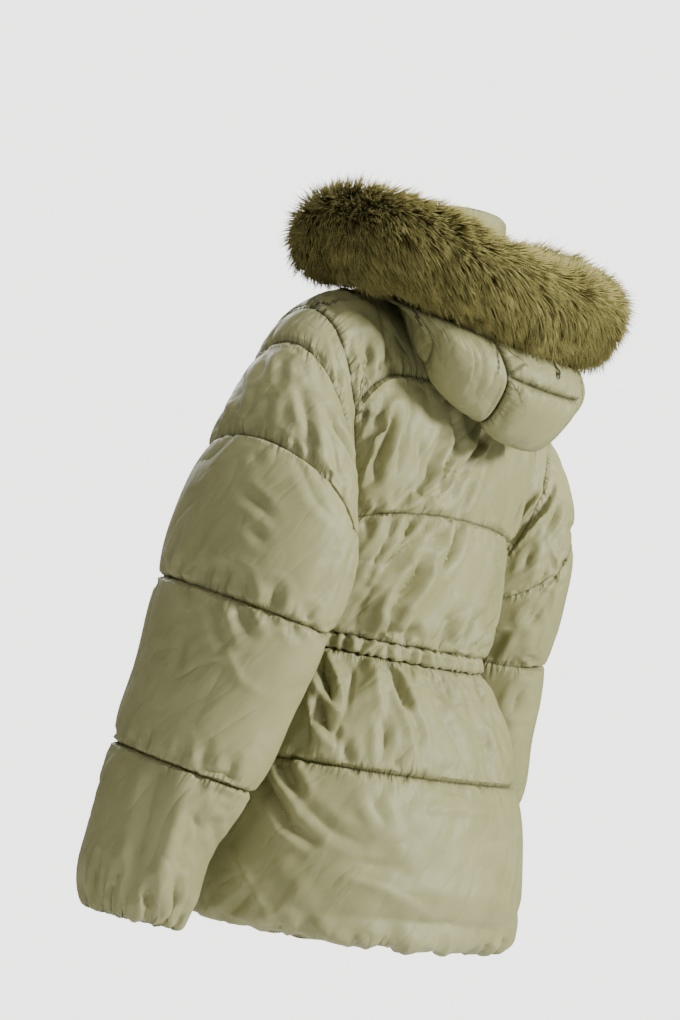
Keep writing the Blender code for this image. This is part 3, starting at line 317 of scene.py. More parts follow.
# ---------------- hood and fur
FUR = table("s x y z radius", [
    (0.00, 0.000, 0.206, -0.004, 0.056),
    (0.25, 0.083, 0.186, 0.002, 0.057),
    (0.50, 0.147, 0.117, 0.026, 0.061),
    (0.75, 0.159, 0.025, 0.044, 0.062),
    (0.90, 0.136, -0.042, 0.044, 0.054),
    (1.00, 0.094, -0.084, 0.040, 0.036),
])
HOOD_NECK = table("s turn", [          # place of the hood's neck edge round the collar, in degrees
    (0.00, 0), (0.25, 34), (0.50, 67), (0.75, 89), (1.00, 134),
])
HOOD_NECK_T = 0.07                     # and up the collar
HOOD_UNDER = table("s x y z", [
    (0.00, 0.000, 0.137, -0.075),
    (0.25, 0.064, 0.125, -0.068),
    (0.50, 0.103, 0.076, -0.026),
    (0.75, 0.094, -0.002, 0.008),
    (1.00, 0.069, -0.055, 0.002),
])
HOOD_FOLD = table("s x y z", [
    (0.00, 0.000, 0.174, -0.160),
    (0.25, 0.060, 0.158, -0.146),
    (0.50, 0.119, 0.108, -0.094),
    (0.75, 0.100, 0.000, 0.007),
    (1.00, 0.072, -0.058, 0.006),
])
HOOD_OUTER = table("s x y z", [
    (0.00, 0.000, 0.214, -0.110),
    (0.25, 0.076, 0.197, -0.102),
    (0.50, 0.141, 0.131, -0.070),
    (0.75, 0.106, 0.002, 0.006),
    (1.00, 0.074, -0.060, 0.010),
])
FUR_SEAT = table("s angle", [          # where the hood's edge meets the roll, in degrees
    (0.00, -90), (0.25, -89), (0.50, -90), (0.75, -130), (1.00, -178),
])
FUR_CLEARANCE = 0.0015    # cloth keeps this far off the roll
ROLL_MIDDLE = np.array([0.0, 0.05, 0.0])      # a point inside the roll's horseshoe
GUSSET_S = 0.25                        # the centre panel reaches this far to each side
HOOD_QUILT_S = 0.50
HOOD_EVEN = 0.05          # reach over which the hood's normals are evened out


def rail(tab, s):
    """A line along the hood, symmetric about the middle, at s from -1 (right) to 1 (left)."""
    both = {name: np.concatenate([(-1 if name in ("x", "s") else 1) * column[:0:-1], column])
            for name, column in tab.items()}
    return points(*(along(both, name, np.abs(s)) for name in ("x", "y", "z"))) * mirrored(s)


def fur_frame(s):
    """Centre of the fur roll at s, and the outward and upward directions of its section."""
    s = np.clip(s, -1, 1)
    centre = rail(FUR, s)
    ahead = unit(rail(FUR, np.clip(s + 0.01, -1, 1)) - rail(FUR, np.clip(s - 0.01, -1, 1)))
    out = unit(np.cross(ahead, np.array([0.0, 0.0, 1.0])))
    out = out * np.sign((out * (centre - ROLL_MIDDLE)).sum(-1, keepdims=True))
    up = np.cross(out, ahead)
    return centre, out, up * np.sign(up[..., 2:3])


def fur_radius(s):
    return along(FUR, "radius", np.abs(s))


def fur_depth(p):
    """How far inside the fur roll each point lies, and the direction out of the roll there."""
    places = np.linspace(-1, 1, 161)
    away = p[..., None, :] - fur_frame(places)[0]
    far = np.linalg.norm(away, axis=-1)
    nearest = np.argmin(far - fur_radius(places), -1)[..., None]
    distance = np.take_along_axis(far, nearest, -1)
    way_out = np.take_along_axis(away, nearest[..., None], -2)[..., 0, :] / distance
    return fur_radius(places)[nearest[..., 0]] - distance[..., 0], way_out


def off_the_fur(inner, outer):
    """Moves a wall that comes nearer to the fur roll than the clearance out to the clearance."""
    pushes = []
    for side in (inner, outer):
        depth, way_out = fur_depth(side)
        pushes.append(way_out * np.maximum(depth + FUR_CLEARANCE, 0.0)[..., None])
    longer = np.linalg.norm(pushes[0], axis=-1) > np.linalg.norm(pushes[1], axis=-1)
    push = np.where(longer[..., None], *pushes)
    return inner + push, outer + push


def press_under_fur(base, n, pad):
    """Padding gives way where it would reach into the fur roll."""
    for _ in range(10):
        depth, _ = fur_depth(base + n * pad[..., None])
        pad = np.maximum(pad - np.maximum(depth + FUR_CLEARANCE, 0.0), 0.0)
    return pad


def hood_edge(s):
    """The hood's face edge, seated on the outside of the fur roll."""
    centre, out, up = fur_frame(s)
    a = np.radians(along(FUR_SEAT, "angle", np.abs(s)))[..., None]
    return centre + (fur_radius(s)[..., None] + FUR_CLEARANCE) * (np.cos(a) * out + np.sin(a) * up)


def hood_neck(s):
    """The hood's neck edge, sewn on just outside the foot of the collar."""
    turn = np.sign(s) * np.radians(along(HOOD_NECK, "turn", np.abs(s)))
    away = 3 * SEAM + CLOTH * ease((np.abs(s) - 0.62) / 0.25)
    return (collar(turn, np.full_like(turn, HOOD_NECK_T))
            + points(np.sin(turn), np.cos(turn), 0.0) * away[..., None])


def hood(s, t):
    """Seam surface of the hood, t from 0 at the neck to 1 at the face edge.

    At the back it hangs in a deep fold; towards its two front ends it runs straight across."""
    rails = [hood_neck(s), rail(HOOD_UNDER, s), rail(HOOD_FOLD, s), rail(HOOD_OUTER, s), hood_edge(s)]
    key = np.linspace(0, 1, len(rails))
    stack = np.stack(rails)
    slope = np.gradient(stack, key, axis=0)
    i = np.clip((t * (len(rails) - 1)).astype(int), 0, len(rails) - 2)
    u = ((t - key[i]) / key[1])[..., None]

    def pick(a, k):
        return np.take_along_axis(a, k[None, ..., None], 0)[0]
    hung = cubic(u, key[1], pick(stack, i), pick(slope, i), pick(stack, i + 1), pick(slope, i + 1))
    straight = rails[0] + (rails[-1] - rails[0]) * t[..., None]
    return hung + (straight - hung) * ease((np.abs(s) - 0.48) / 0.20)[..., None]


# ---------------- walls
def normals(surface, a, b, outward, d=1e-3):
    """Unit normals of a surface, turned to the side that `outward` points to.

    A larger d takes them from points further apart, which evens them out."""
    da = surface(a + d, b) - surface(a - d, b)
    db = surface(a, np.clip(b + d, 0, 1)) - surface(a, np.clip(b - d, 0, 1))
    return unit(np.cross(da, db)) * outward


def lean(n, direction, share):
    """Turns normals towards a seam's own direction, so that two rims meet in one plane."""
    return unit(n * (1 - share[..., None]) + direction * share[..., None])


def fold_height(folds, s, t):
    """Sum of the soft ridges (+) and troughs (-) in a table of folds.

    Each row is a straight line from (s0, t0) to (s1, t1), its half width in s and its height."""
    total = np.zeros(np.broadcast(s, t).shape)
    for s0, t0, s1, t1, width, height in zip(*folds.values()):
        run, rise = s1 - s0, t1 - t0
        f = np.clip(((s - s0) * run + (t - t0) * rise) / (run**2 + rise**2), 0, 1)
        away = np.hypot(s - s0 - run * f, t - t0 - rise * f)
        total += height * (1 - ease(away / width)) * np.sin(math.pi * (0.15 + 0.7 * f))
    return total


def gathers(s, count, seed):
    """Uneven waves across a gathered edge, from -1 to 1."""
    shift = 0.6 * np.sin(2.3 * s + seed) + 0.4 * np.sin(5.1 * s + 2 * seed)
    return np.sin(count * math.pi * s + 2.2 * shift)


FOLDS_BACK = table("s0 t0 s1 t1 width height", [
    (0.42, 0.98, 0.05, 0.66, 0.07, 0.007),
    (0.60, 0.95, 0.40, 0.66, 0.06, 0.006),
    (-0.05, 0.97, -0.30, 0.66, 0.07, 0.006),
    (0.30, 0.60, 0.02, 0.32, 0.07, 0.007),
    (0.52, 0.42, 0.38, 0.60, 0.05, -0.005),
    (-0.32, 0.60, -0.10, 0.30, 0.07, 0.006),
    (0.70, 0.24, 0.60, 0.10, 0.06, -0.005),
    (-0.66, 0.60, -0.50, 0.30, 0.07, 0.005),
])
FOLDS_FRONT = table("s0 t0 s1 t1 width height", [
    (0.30, 0.97, 0.50, 0.66, 0.08, 0.006),
    (0.62, 0.60, 0.45, 0.32, 0.08, 0.006),
    (0.70, 0.95, 0.80, 0.66, 0.07, 0.005),
])


def under_hood(s, t):
    """1 where the hanging hood lies on the back, 0 away from it."""
    return (1 - ease((np.abs(s) - 0.45) / 0.3)) * (1 - ease((t - 0.20) / 0.15))


def bodice_padding(s, t, back):
    """Height of the bodice's padding above the seam surface."""
    pad = banded(t, (0.0, YOKE_T, CHEST_T, 1.0), BODICE_LONG, PUFF_BODY)
    pad = pad * swell((1 - np.abs(s)) * BODICE_WIDE, 0.05)
    arm_side = ease((t - 0.38) / 0.2) * ease((np.abs(s) - 0.60) / 0.30)
    pad = pad * (1 - 0.85 * arm_side)
    pad = pad * (1 - 0.55 * under_hood(s, t) * (1 if back else 0))
    folds, across = (FOLDS_BACK, s) if back else (FOLDS_FRONT, np.abs(s))
    pad = pad + fold_height(folds, across, t) * swell(pad, PUFF_BODY)
    waist = ease((t - 0.80) / 0.17) * (1 - ease((t - 0.97) / 0.03))
    return np.maximum(pad + 0.004 * gathers(s, 9, 0.4) * waist, 0.0)


FOLDS_SKIRT = table("s0 t0 s1 t1 width height", [
    (0.46, 0.04, 0.30, 0.34, 0.06, 0.007),
    (0.22, 0.03, 0.02, 0.30, 0.07, 0.006),
    (-0.06, 0.03, -0.20, 0.30, 0.06, 0.006),
    (-0.34, 0.03, -0.48, 0.32, 0.06, 0.006),
    (0.64, 0.05, 0.66, 0.34, 0.06, 0.006),
    (0.52, 0.44, 0.28, 0.66, 0.06, 0.004),
    (0.02, 0.62, -0.48, 0.86, 0.06, -0.004),
    (0.66, 0.70, 0.44, 0.95, 0.05, 0.004),
])


def skirt_padding(s, t):
    """Height of the skirt's padding above the seam surface, |s| = 1 at the side seam."""
    pad = banded(t, (0.0, HIP_T, 1.0), SKIRT_LONG, PUFF_SKIRT, 0.07)
    pad = pad * swell((1 - np.abs(s)) * SKIRT_WIDE, 0.03)
    pad = pad * (1 - 0.70 * ease((np.abs(s) - 0.68) / 0.28))
    pad = pad + fold_height(FOLDS_SKIRT, s, t) * swell(pad, PUFF_SKIRT)
    waist = ease(t / 0.05) * (1 - ease((t - 0.08) / 0.22))
    return np.maximum(pad + 0.005 * gathers(s, 9, 2.0) * waist, 0.0)


def sleeve_padding(turn, v):
    """Height of a sleeve's padding. The side that faces the body is thin."""
    pad = banded(v, (0.0, CAP_V, UPPER_V, ELBOW_V, LOWER_V, CUFF_V), SLEEVE_LONG, PUFF_SLEEVE, 0.06)
    pad = np.where(v > CUFF_V, 0.0, pad)
    pad = pad * (1 - 0.35 * (1 - ease((v - CAP_V) / 0.05)))
    inner = ease((-np.cos(turn) - 0.25 + 0.35 * (v < CAP_V)) / 0.6)
    pad = pad * (1 - 0.85 * inner)
    cuff = ease((v - 0.90) / 0.06) * (v < 0.99)
    return np.maximum(pad + 0.004 * np.sin(11 * turn + 0.7 * np.sin(3 * turn)) * cuff, 0.0)


def hood_padding(s, t, low, high):
    """Height of a hood panel's padding between its two side seams."""
    across = np.minimum(s - low, high - s)
    pad = PUFF_HOOD * swell(across * HOOD_LONG, 0.035)
    pad = pad * swell(np.minimum(t, 1 - t) * HOOD_LONG, 0.045)
    return pad * ease((t - 0.38) / 0.2) * (1 - ease((np.abs(s) - 0.44) / 0.16))


# ---------------- grids of points
CELL = 0.0064             # spacing of the simulated cloth's points
INNER_STEP = 4            # the plain inner side has one point for this many of the fine outer side
INNER_SHARE = INNER_STEP // 2
START_SHARE = 0.80        # padding before the simulation, as a share of its full height


def even(count):
    """The nearest even number of cells, so that the inner side's coarser grid fits."""
    return 2 * max(1, round(count / 2))


def band_places(lines, length):
    """Row places between sewing lines about CELL apart, and the row number of each line."""
    rows, numbers = [lines[0]], [0]
    for low, high in zip(lines[:-1], lines[1:]):
        count = even((high - low) * length / CELL)
        rows += list(np.linspace(low, high, count + 1)[1:])
        numbers.append(numbers[-1] + count)
    return np.array(rows), numbers


def walked(grid, axis):
    """Distance walked along the middle row or column of a grid, in metres."""
    return walk(grid[grid.shape[0] // 2] if axis == 1 else grid[:, grid.shape[1] // 2])


def finer_along(grid, ring):
    """Doubles the points of a grid's first axis with a smooth cubic."""
    if ring:
        padded = np.concatenate([grid[-1:], grid, grid[:2]])
    else:
        padded = np.concatenate([2 * grid[:1] - grid[1:2], grid, 2 * grid[-1:] - grid[-2:-1]])
    between = (9 * (padded[1:-2] + padded[2:-1]) - padded[:-3] - padded[3:]) / 16
    out = np.empty((len(grid) + len(between),) + grid.shape[1:])
    out[0::2] = grid
    out[1::2] = between
    return out


def finer(grid, ring=False):
    """Doubles the points of a grid both ways."""
    grid = finer_along(grid, False)
    return np.swapaxes(finer_along(np.swapaxes(grid, 0, 1), ring), 0, 1)


def grid_normals(grid, ring, like):
    """Normals of a grid of points, on the same side as the directions in `like`."""
    across = np.roll(grid, -1, 1) - np.roll(grid, 1, 1) if ring else np.gradient(grid, axis=1)
    n = unit(np.cross(across, np.gradient(grid, axis=0)))
    return n * np.sign((n * like).sum(-1, keepdims=True))


def linked(name, data):
    """A new object in the scene."""
    obj = bpy.data.objects.new(name, data)
    bpy.context.scene.collection.objects.link(obj)
    return obj


def add_object(name, verts, faces):
    """A mesh object in the scene."""
    mesh = bpy.data.meshes.new(name)
    mesh.from_pydata(verts, [], faces)
    return linked(name, mesh)


def store(obj, name, kind, values):
    """Stores one value or vector for each point of a mesh."""
    attribute = obj.data.attributes.new(name, kind, "POINT")
    key = "vector" if kind == "FLOAT_VECTOR" else "value"
    attribute.data.foreach_set(key, np.ascontiguousarray(values, dtype=np.float32).ravel())


def numbered(rows, cols, ring, first=0):
    """The numbers of a grid's points; a ring's first column comes again at its end."""
    number = first + np.arange(rows * cols).reshape(rows, cols)
    return np.append(number, number[:, :1], 1) if ring else number


def grid_faces(number):
    """The quads between the numbered points of a grid."""
    corners = (number[:-1, :-1], number[:-1, 1:], number[1:, 1:], number[1:, :-1])
    return np.stack(corners, -1).reshape(-1, 4)


def closed_wall(name, outer, inner, ring):
    """A closed wall between a fine outer grid and a coarser plain inner one."""
    verts = np.concatenate([outer.reshape(-1, 3), inner.reshape(-1, 3)])
    shell = numbered(*outer.shape[:2], ring)
    lining = numbered(*inner.shape[:2], ring, len(verts) - inner.size // 3)
    faces = [*grid_faces(shell).tolist(), *grid_faces(lining)[:, ::-1].tolist()]
    rims = [(shell[0], lining[0]), (shell[-1], lining[-1])]
    if not ring:
        rims += [(shell[:, 0], lining[:, 0]), (shell[:, -1], lining[:, -1])]
    for fine, coarse in rims:
        for j in range(len(coarse) - 1):
            edge = fine[INNER_STEP * j:INNER_STEP * (j + 1) + 1]
            faces.append([*edge.tolist(), int(coarse[j + 1]), int(coarse[j])])
    obj = add_object(name, verts, faces)
    face_out(obj)
    return obj


def store_cloth(obj, inner, cloth, tuck):
    """Stores the outer side's cloth and tuck vectors; the inner side counts as far from a seam."""
    blank = np.full((inner.size // 3, 3), 1.0)
    for name, parts in (("cloth", cloth), ("tuck", tuck)):
        values = np.concatenate([np.stack(parts, -1).reshape(-1, 3), blank])
        store(obj, name, "FLOAT_VECTOR", values)


def face_out(obj, sharp_degrees=50):
    """Turns a closed mesh's faces outwards and shades it smooth."""
    bm = bmesh.new()
    bm.from_mesh(obj.data)
    bmesh.ops.recalc_face_normals(bm, faces=bm.faces[:])
    if bm.calc_volume(signed=True) < 0:
        bmesh.ops.reverse_faces(bm, faces=bm.faces[:])
    bm.to_mesh(obj.data)
    bm.free()
    obj.data.shade_smooth()
    obj.data.set_sharp_from_angle(angle=math.radians(sharp_degrees))


class Panel:
    """A padded cloth piece on a grid of points.

    The base is the surface its sewing lines lie on, and pad how far the shell stands off it.
    Rows and columns named as sewn are held there; `free` is the share of its own motion that
    the simulation may give each point."""

    def __init__(self, name, base, n, pad, sewn_rows, sewn_columns=(), ring=False, free=1.0):
        self.name, self.base, self.n, self.pad, self.ring = name, base, n, pad, ring
        self.sewn_rows, self.sewn_columns = list(sewn_rows), list(sewn_columns)
        self.free = np.broadcast_to(free, pad.shape)
        self.outer = base + n * (pad * (1 - (1 - START_SHARE) * self.free))[..., None]
        self.across, self.down = walked(base, 1), walked(base, 0)
        self.folds = []

    def held(self):
        """Which points a sewing line or an edge holds."""
        mask = np.zeros(self.pad.shape, bool)
        mask[self.sewn_rows] = True
        mask[[0, -1]] = True
        if not self.ring:
            mask[:, [0, -1]] = True
        mask[:, self.sewn_columns] = True
        return mask

    def quads(self, first):
        """The outer side's faces, turned outwards, for points numbered from `first`."""
        quad = grid_faces(numbered(*self.pad.shape, self.ring, first))
        a, b, d = (self.base.reshape(-1, 3)[quad[:, k] - first] for k in (0, 1, 3))
        out = (np.cross(b - a, d - a) * self.n.reshape(-1, 3)[quad[:, 0] - first]).sum(-1).sum()
        return quad if out > 0 else quad[:, ::-1]


# ---------------- cloth simulation
PRESSURE = 2.0
FRAMES, CLOTH_STEPS = 20, 3
EXTRA_CLOTH = 0.055       # the shell is cut this much wider than the surface it is sewn to
POINT_MASS = 0.15
BENDING = 0.005
FURTHEST = 0.004          # no point moves further than this from where it starts


def blow_up(panels):
    """Swells all the panels' shells at once, held at their sewing lines."""
    verts = np.concatenate([p.outer.reshape(-1, 3) for p in panels])
    starts = np.cumsum([0] + [p.pad.size for p in panels])
    quads = np.concatenate([p.quads(first) for p, first in zip(panels, starts)])
    obj = add_object("shell_cloth", verts, quads.tolist())
    held = np.concatenate([p.held().ravel() for p in panels])
    sewn = obj.vertex_groups.new(name="sewn")
    sewn.add(np.flatnonzero(held).tolist(), 1.0, "REPLACE")
    cloth = obj.modifiers.new("cloth", "CLOTH")
    cloth.point_cache.frame_start, cloth.point_cache.frame_end = 1, FRAMES
    cloth.collision_settings.use_collision = False
    settings = cloth.settings
    settings.quality = CLOTH_STEPS
    settings.mass = POINT_MASS
    settings.bending_stiffness = BENDING
    settings.use_pressure = True
    settings.uniform_pressure_force = PRESSURE
    settings.shrink_min = -EXTRA_CLOTH
    settings.vertex_group_mass = "sewn"
    settings.effector_weights.gravity = 0.0
    scene = bpy.context.scene
    for number in range(1, FRAMES + 1):
        scene.frame_set(number)
    graph = bpy.context.evaluated_depsgraph_get()
    settled = np.empty(len(verts) * 3)
    obj.evaluated_get(graph).data.vertices.foreach_get("co", settled)
    move = settled.reshape(-1, 3) - verts
    bpy.data.objects.remove(obj, do_unlink=True)
    scene.frame_set(1)
    far = np.linalg.norm(move, axis=1, keepdims=True)
    move = move * np.minimum(1.0, FURTHEST / np.maximum(far, 1e-9))
    for panel, first in zip(panels, starts):
        part = move[first:first + panel.pad.size].reshape(panel.outer.shape)
        panel.outer = panel.outer + part * panel.free[..., None]


# ---------------- gathered creases
def puckers(rng, x, away, spacing, width, deep, long):
    """Short creases that run out from both sides of a sewing line: depth (-) or height (+).

    x is the place along the line and away the signed distance from it, in metres; spacing,
    width, deep and long are the creases' mean sizes."""
    total = np.zeros(away.shape)
    low, high = float(x.min()), float(x.max())
    for side in (-1, 1):
        count = max(2, int((high - low) / spacing))
        place = rng.uniform(low, high, count)
        half = width * rng.uniform(0.75, 1.5, count)
        depth = deep * rng.uniform(0.25, 1.3, count)**1.5
        reach = long * rng.uniform(0.35, 1.9, count)
        slant = rng.normal(0.0, 0.35, count)
        near = (away * side > 0) & (away * side < reach.max())
        d = np.abs(away[near])[:, None]
        u = (np.broadcast_to(x, away.shape)[near][:, None] - place - slant * d) / (half * (1 + d / reach))
        fall = np.clip(1 - d / reach, 0, 1)**1.5 * ease(d / 0.004)
        total[near] += (-depth * (1 - 0.7 * u**2) * np.exp(-u**2 / 2) * fall).sum(1)
    return total


TIP_SOFT, TIP_BACK = 0.05, 0.22       # they round off a crease's sharp bottom


def crease_field(rows, x, y):
    """Folds of a piece in its own metres: the sum of the heights of the listed creases.

    Each row is a crease's half width, its height at the middle and the points of its line. A
    trough is sharp, with a soft swelling on both sides; a ridge is round."""
    total = np.zeros(x.shape)
    for width, height, line in rows:
        starts = walk(line)
        near = np.full(x.shape, np.inf)
        share = np.zeros(x.shape)
        for (x0, y0), (x1, y1), start, end in zip(line[:-1], line[1:], starts[:-1], starts[1:]):
            leg = end - start
            run, rise = (x1 - x0) / leg, (y1 - y0) / leg
            f = np.clip((x - x0) * run + (y - y0) * rise, 0, leg)
            far = np.hypot(x - x0 - run * f, y - y0 - rise * f)
            share = np.where(far < near, (start + f) / starts[-1], share)
            near = np.minimum(near, far)
        u = np.sqrt((near / width)**2 + TIP_SOFT) - TIP_BACK
        if height < 0:
            crest = np.exp(-1.5 * u) - 0.42 * np.exp(-(u - 2.3)**2)
        else:
            crest = np.exp(-2.2 * u) * (1 + 2.2 * u)
        total += height * crest * np.sin(math.pi * (0.10 + 0.80 * share))**0.7
    return total


# ---------------- the panels
NECK_COLUMNS, SHOULDER_COLUMNS = 16, 24
SLEEVE_COLUMNS, BACK_SKIRT_COLUMNS, FRONT_SKIRT_COLUMNS = 84, 116, 44
YOKE_TOP, BODICE_HALF = 0.11, 0.20     # metres for a step of 1 at an edge, to set a seam's gap
SKIRT_TOP, SKIRT_TURN, SLEEVE_TOP, HOOD_ROUND = 0.06, 0.21, 0.40, 0.35


def bodice_columns(first):
    """Columns of half a bodice panel, with one at the corner of neck and shoulder seam."""
    low = np.stack([first + (NECK_SHARE - first) * k / NECK_COLUMNS for k in range(NECK_COLUMNS)], -1)
    high = np.linspace(NECK_SHARE, 1 - SEAM / BODICE_HALF, SHOULDER_COLUMNS + 1)
    return np.concatenate([low, np.broadcast_to(high, (len(first), len(high)))], 1)


def bodice_panel(name, side):
    """side 0 is the back panel, 1 the left front and -1 the right front."""
    back = side == 0
    rows, sewn = band_places((0.0, YOKE_T, CHEST_T, 1.0), BODICE_LONG)
    rows[0] += SEAM / YOKE_TOP
    rows[-1] -= SEAM / BODICE_LONG
    if back:
        half = bodice_columns(0 * rows)
        s = np.concatenate([-half[:, :0:-1], half], 1)
    else:
        widening = bodice(np.full(len(rows), 1e-3), rows, False)[:, 0] / 1e-3
        half = bodice_columns(CF_HALF / widening)
        s = half if side > 0 else -half[:, ::-1]
    sewn_t = np.broadcast_to(rows[:, None], s.shape)
    window = ease(sewn_t / YOKE_T) * (1 - ease((sewn_t - YOKE_T) / (CHEST_T - YOKE_T)))
    t = sewn_t + YOKE_DIP * np.clip((s - 0.55) / 0.45, 0, 1)**2 * window * back
    base = bodice(s, t, back)
    n = normals(lambda a, b: bodice(a, b, back), s, t, 1 if back else -1)
    q = np.abs(s)
    n = lean(n, np.array([0.0, 0.0, 1.0]), (1 - ease(t / 0.05)) * ease((q - NECK_SHARE + 0.20) / 0.12))
    angle = math.pi * np.clip(t / UNDERARM_T, 0, 1) * (1 if back else -1)
    mitre = (1 - ease((1 - q) / 0.10)) * ease((np.cos(angle) + 0.9) / 0.6) * (t < UNDERARM_T)
    n = lean(n, armhole_outward(angle) * mirrored(s), mitre)
    pad = press_under_fur(base, n, bodice_padding(s, sewn_t, back))
    arm_side = ease((t - 0.30) / 0.2) * ease((q - 0.72) / 0.22)
    return Panel(name, base, n, pad, sewn, free=(1 - 0.9 * arm_side) * (1 - 0.9 * under_hood(s, t) * back))


def skirt_panel(name, side, columns):
    """side 0 is the back panel, 1 the left front and -1 the right front."""
    rows, sewn = band_places((0.0, HIP_T, HEM_T, 1.0), SKIRT_LONG)
    rows[0] += SEAM / SKIRT_TOP
    q, t = np.meshgrid(np.linspace(0, 1, columns + 1), rows)
    seam = side_seam(t)
    gap = SEAM / SKIRT_TURN
    if side == 0:
        turn = (2 * q - 1) * (seam - gap)
        s = 2 * q - 1
    else:
        front = math.pi - CF_HALF / along(SKIRT, "half_x", t)
        turn = side * (seam + gap + (front - seam - gap) * q)
        s = side * (1 - q)
    base = skirt(turn, t)
    n = normals(skirt, turn, t, 1)
    arm_side = ease((np.abs(s) - 0.72) / 0.22)
    return Panel(name, base, n, skirt_padding(s, t), sewn, free=1 - 0.85 * arm_side)


def sleeve_panel(name, right):
    """A sleeve, closed round the arm; its side to the body and its cap swell less."""
    rows, sewn = band_places((0.0, CAP_V, UPPER_V, ELBOW_V, LOWER_V, CUFF_V, 1.0), SLEEVE_LONG)
    rows[0] += SEAM / SLEEVE_TOP
    turn, v = np.meshgrid(np.arange(SLEEVE_COLUMNS) * 2 * math.pi / SLEEVE_COLUMNS - math.pi, rows)
    base = sleeve(turn, v, right)
    n = normals(lambda a, b: sleeve(a, b, right), turn, v, 1 if right else -1)
    mitre = (1 - ease(v / 0.05)) * ease((np.cos(turn) + 0.9) / 0.6)
    n = lean(n, armhole_outward(turn) * points(-1.0 if right else 1.0, 1.0, 1.0), mitre)
    body_side = ease((-np.cos(turn) - 0.15) / 0.5)
    cap = 1 - ease((v - CAP_V) / (UPPER_V - CAP_V))
    return Panel(name, base, n, sleeve_padding(turn, v), sewn, ring=True,
                 free=(1 - 0.9 * body_side) * (1 - 0.8 * cap))


COLLAR_COLUMNS, COLLAR_ROWS, COLLAR_FOOT = 81, 19, 0.008
HOOD_ROWS, HOOD_EDGE = 45, 0.004
HOOD_CENTRE_COLUMNS, HOOD_SIDE_COLUMNS = 32, 54
EYELET_CALM = 0.012       # the cloth lies flat this far round the eyelet


def collar_panel():
    """The padded stand collar, open at the zip."""
    end = math.pi - math.asin(CF_HALF / NECK_HALF)
    turn, t = np.meshgrid(np.linspace(-end, end, COLLAR_COLUMNS),
                          np.linspace(COLLAR_FOOT, 1.0, COLLAR_ROWS))
    n = normals(collar, turn, t, -1)
    pad = PUFF_COLLAR * swell((t - 0.12) * COLLAR_LONG, 0.035) * swell((1 - t) * COLLAR_LONG, 0.02)
    pad = pad * swell(np.maximum(end - np.abs(turn), 0) * NECK_HALF, 0.015)
    return Panel("stand_collar_quilted", collar(turn, t), n, pad, (), free=0.5)


def hood_panel(name, low, high, columns, quilt=None, cross=None):
    """A hood panel from s = low to high; quilt is the s of its own sewing line and cross the t
    of a sewing line across it, if it has them."""
    rows = np.linspace(HOOD_EDGE, 1 - HOOD_EDGE, HOOD_ROWS)
    places = np.linspace(low, high, columns + 1)
    sewn = []
    if quilt is not None:
        middle = int(np.argmin(np.abs(places - quilt)))
        places[middle] = quilt
        sewn = [middle]
    s, t = np.meshgrid(places, rows)
    base = hood(s, t)
    n = normals(hood, s, t, -1, HOOD_EVEN)
    lines = [low, *([] if quilt is None else [quilt]), high]
    pad = np.zeros_like(s)
    for a, b in zip(lines[:-1], lines[1:]):
        pad = np.where((s >= a) & (s <= b), hood_padding(s, t, a, b), pad)
    inner, outer = off_the_fur(base - n * CLOTH, base + n * pad[..., None])
    base = inner + n * CLOTH
    pad = ((outer - base) * n).sum(-1)
    from_eyelet = np.hypot((s - EYELET_S) * HOOD_LONG, (t - EYELET_T) * HOOD_T_LENGTH)
    shown = ease((t - 0.30) / 0.15) * (1 - ease((t - 0.90) / 0.1)) * (1 - ease((np.abs(s) - 0.40) / 0.15))
    shown = shown * ease((from_eyelet - EYELET_CALM) / 0.02)
    sewn_rows = []
    if cross is not None:
        sewn_rows = [int(np.argmin(np.abs(rows - cross)))]
        line = rows[sewn_rows[0]]
        groove = swell(np.abs(t - line) * HOOD_LONG, 0.03)
        pad = pad * np.where(np.abs(s) < GUSSET_S, groove, 1.0)
    return Panel(name, base, n, pad, sewn_rows, sewn, free=HOOD_FREE * shown)


def all_panels():
    """All the padded panels, in the order in which their random puckers are drawn."""
    gap = SEAM / HOOD_ROUND
    return [
        bodice_panel("back_bodice_quilted", 0),
        bodice_panel("left_front_bodice_quilted", 1),
        bodice_panel("right_front_bodice_quilted", -1),
        skirt_panel("back_skirt_quilted", 0, BACK_SKIRT_COLUMNS),
        skirt_panel("left_front_skirt_quilted", 1, FRONT_SKIRT_COLUMNS),
        skirt_panel("right_front_skirt_quilted", -1, FRONT_SKIRT_COLUMNS),
        sleeve_panel("left_sleeve_quilted", False),
        sleeve_panel("right_sleeve_quilted", True),
        collar_panel(),
        hood_panel("hood_centre_panel_quilted", -GUSSET_S + gap, GUSSET_S - gap, HOOD_CENTRE_COLUMNS,
                   None, HOOD_CROSS_T),
        hood_panel("hood_left_panel_quilted", GUSSET_S + gap, 1.0, HOOD_SIDE_COLUMNS,
                   HOOD_QUILT_S),
        hood_panel("hood_right_panel_quilted", -1.0, -GUSSET_S - gap, HOOD_SIDE_COLUMNS,
                   -HOOD_QUILT_S),
    ]


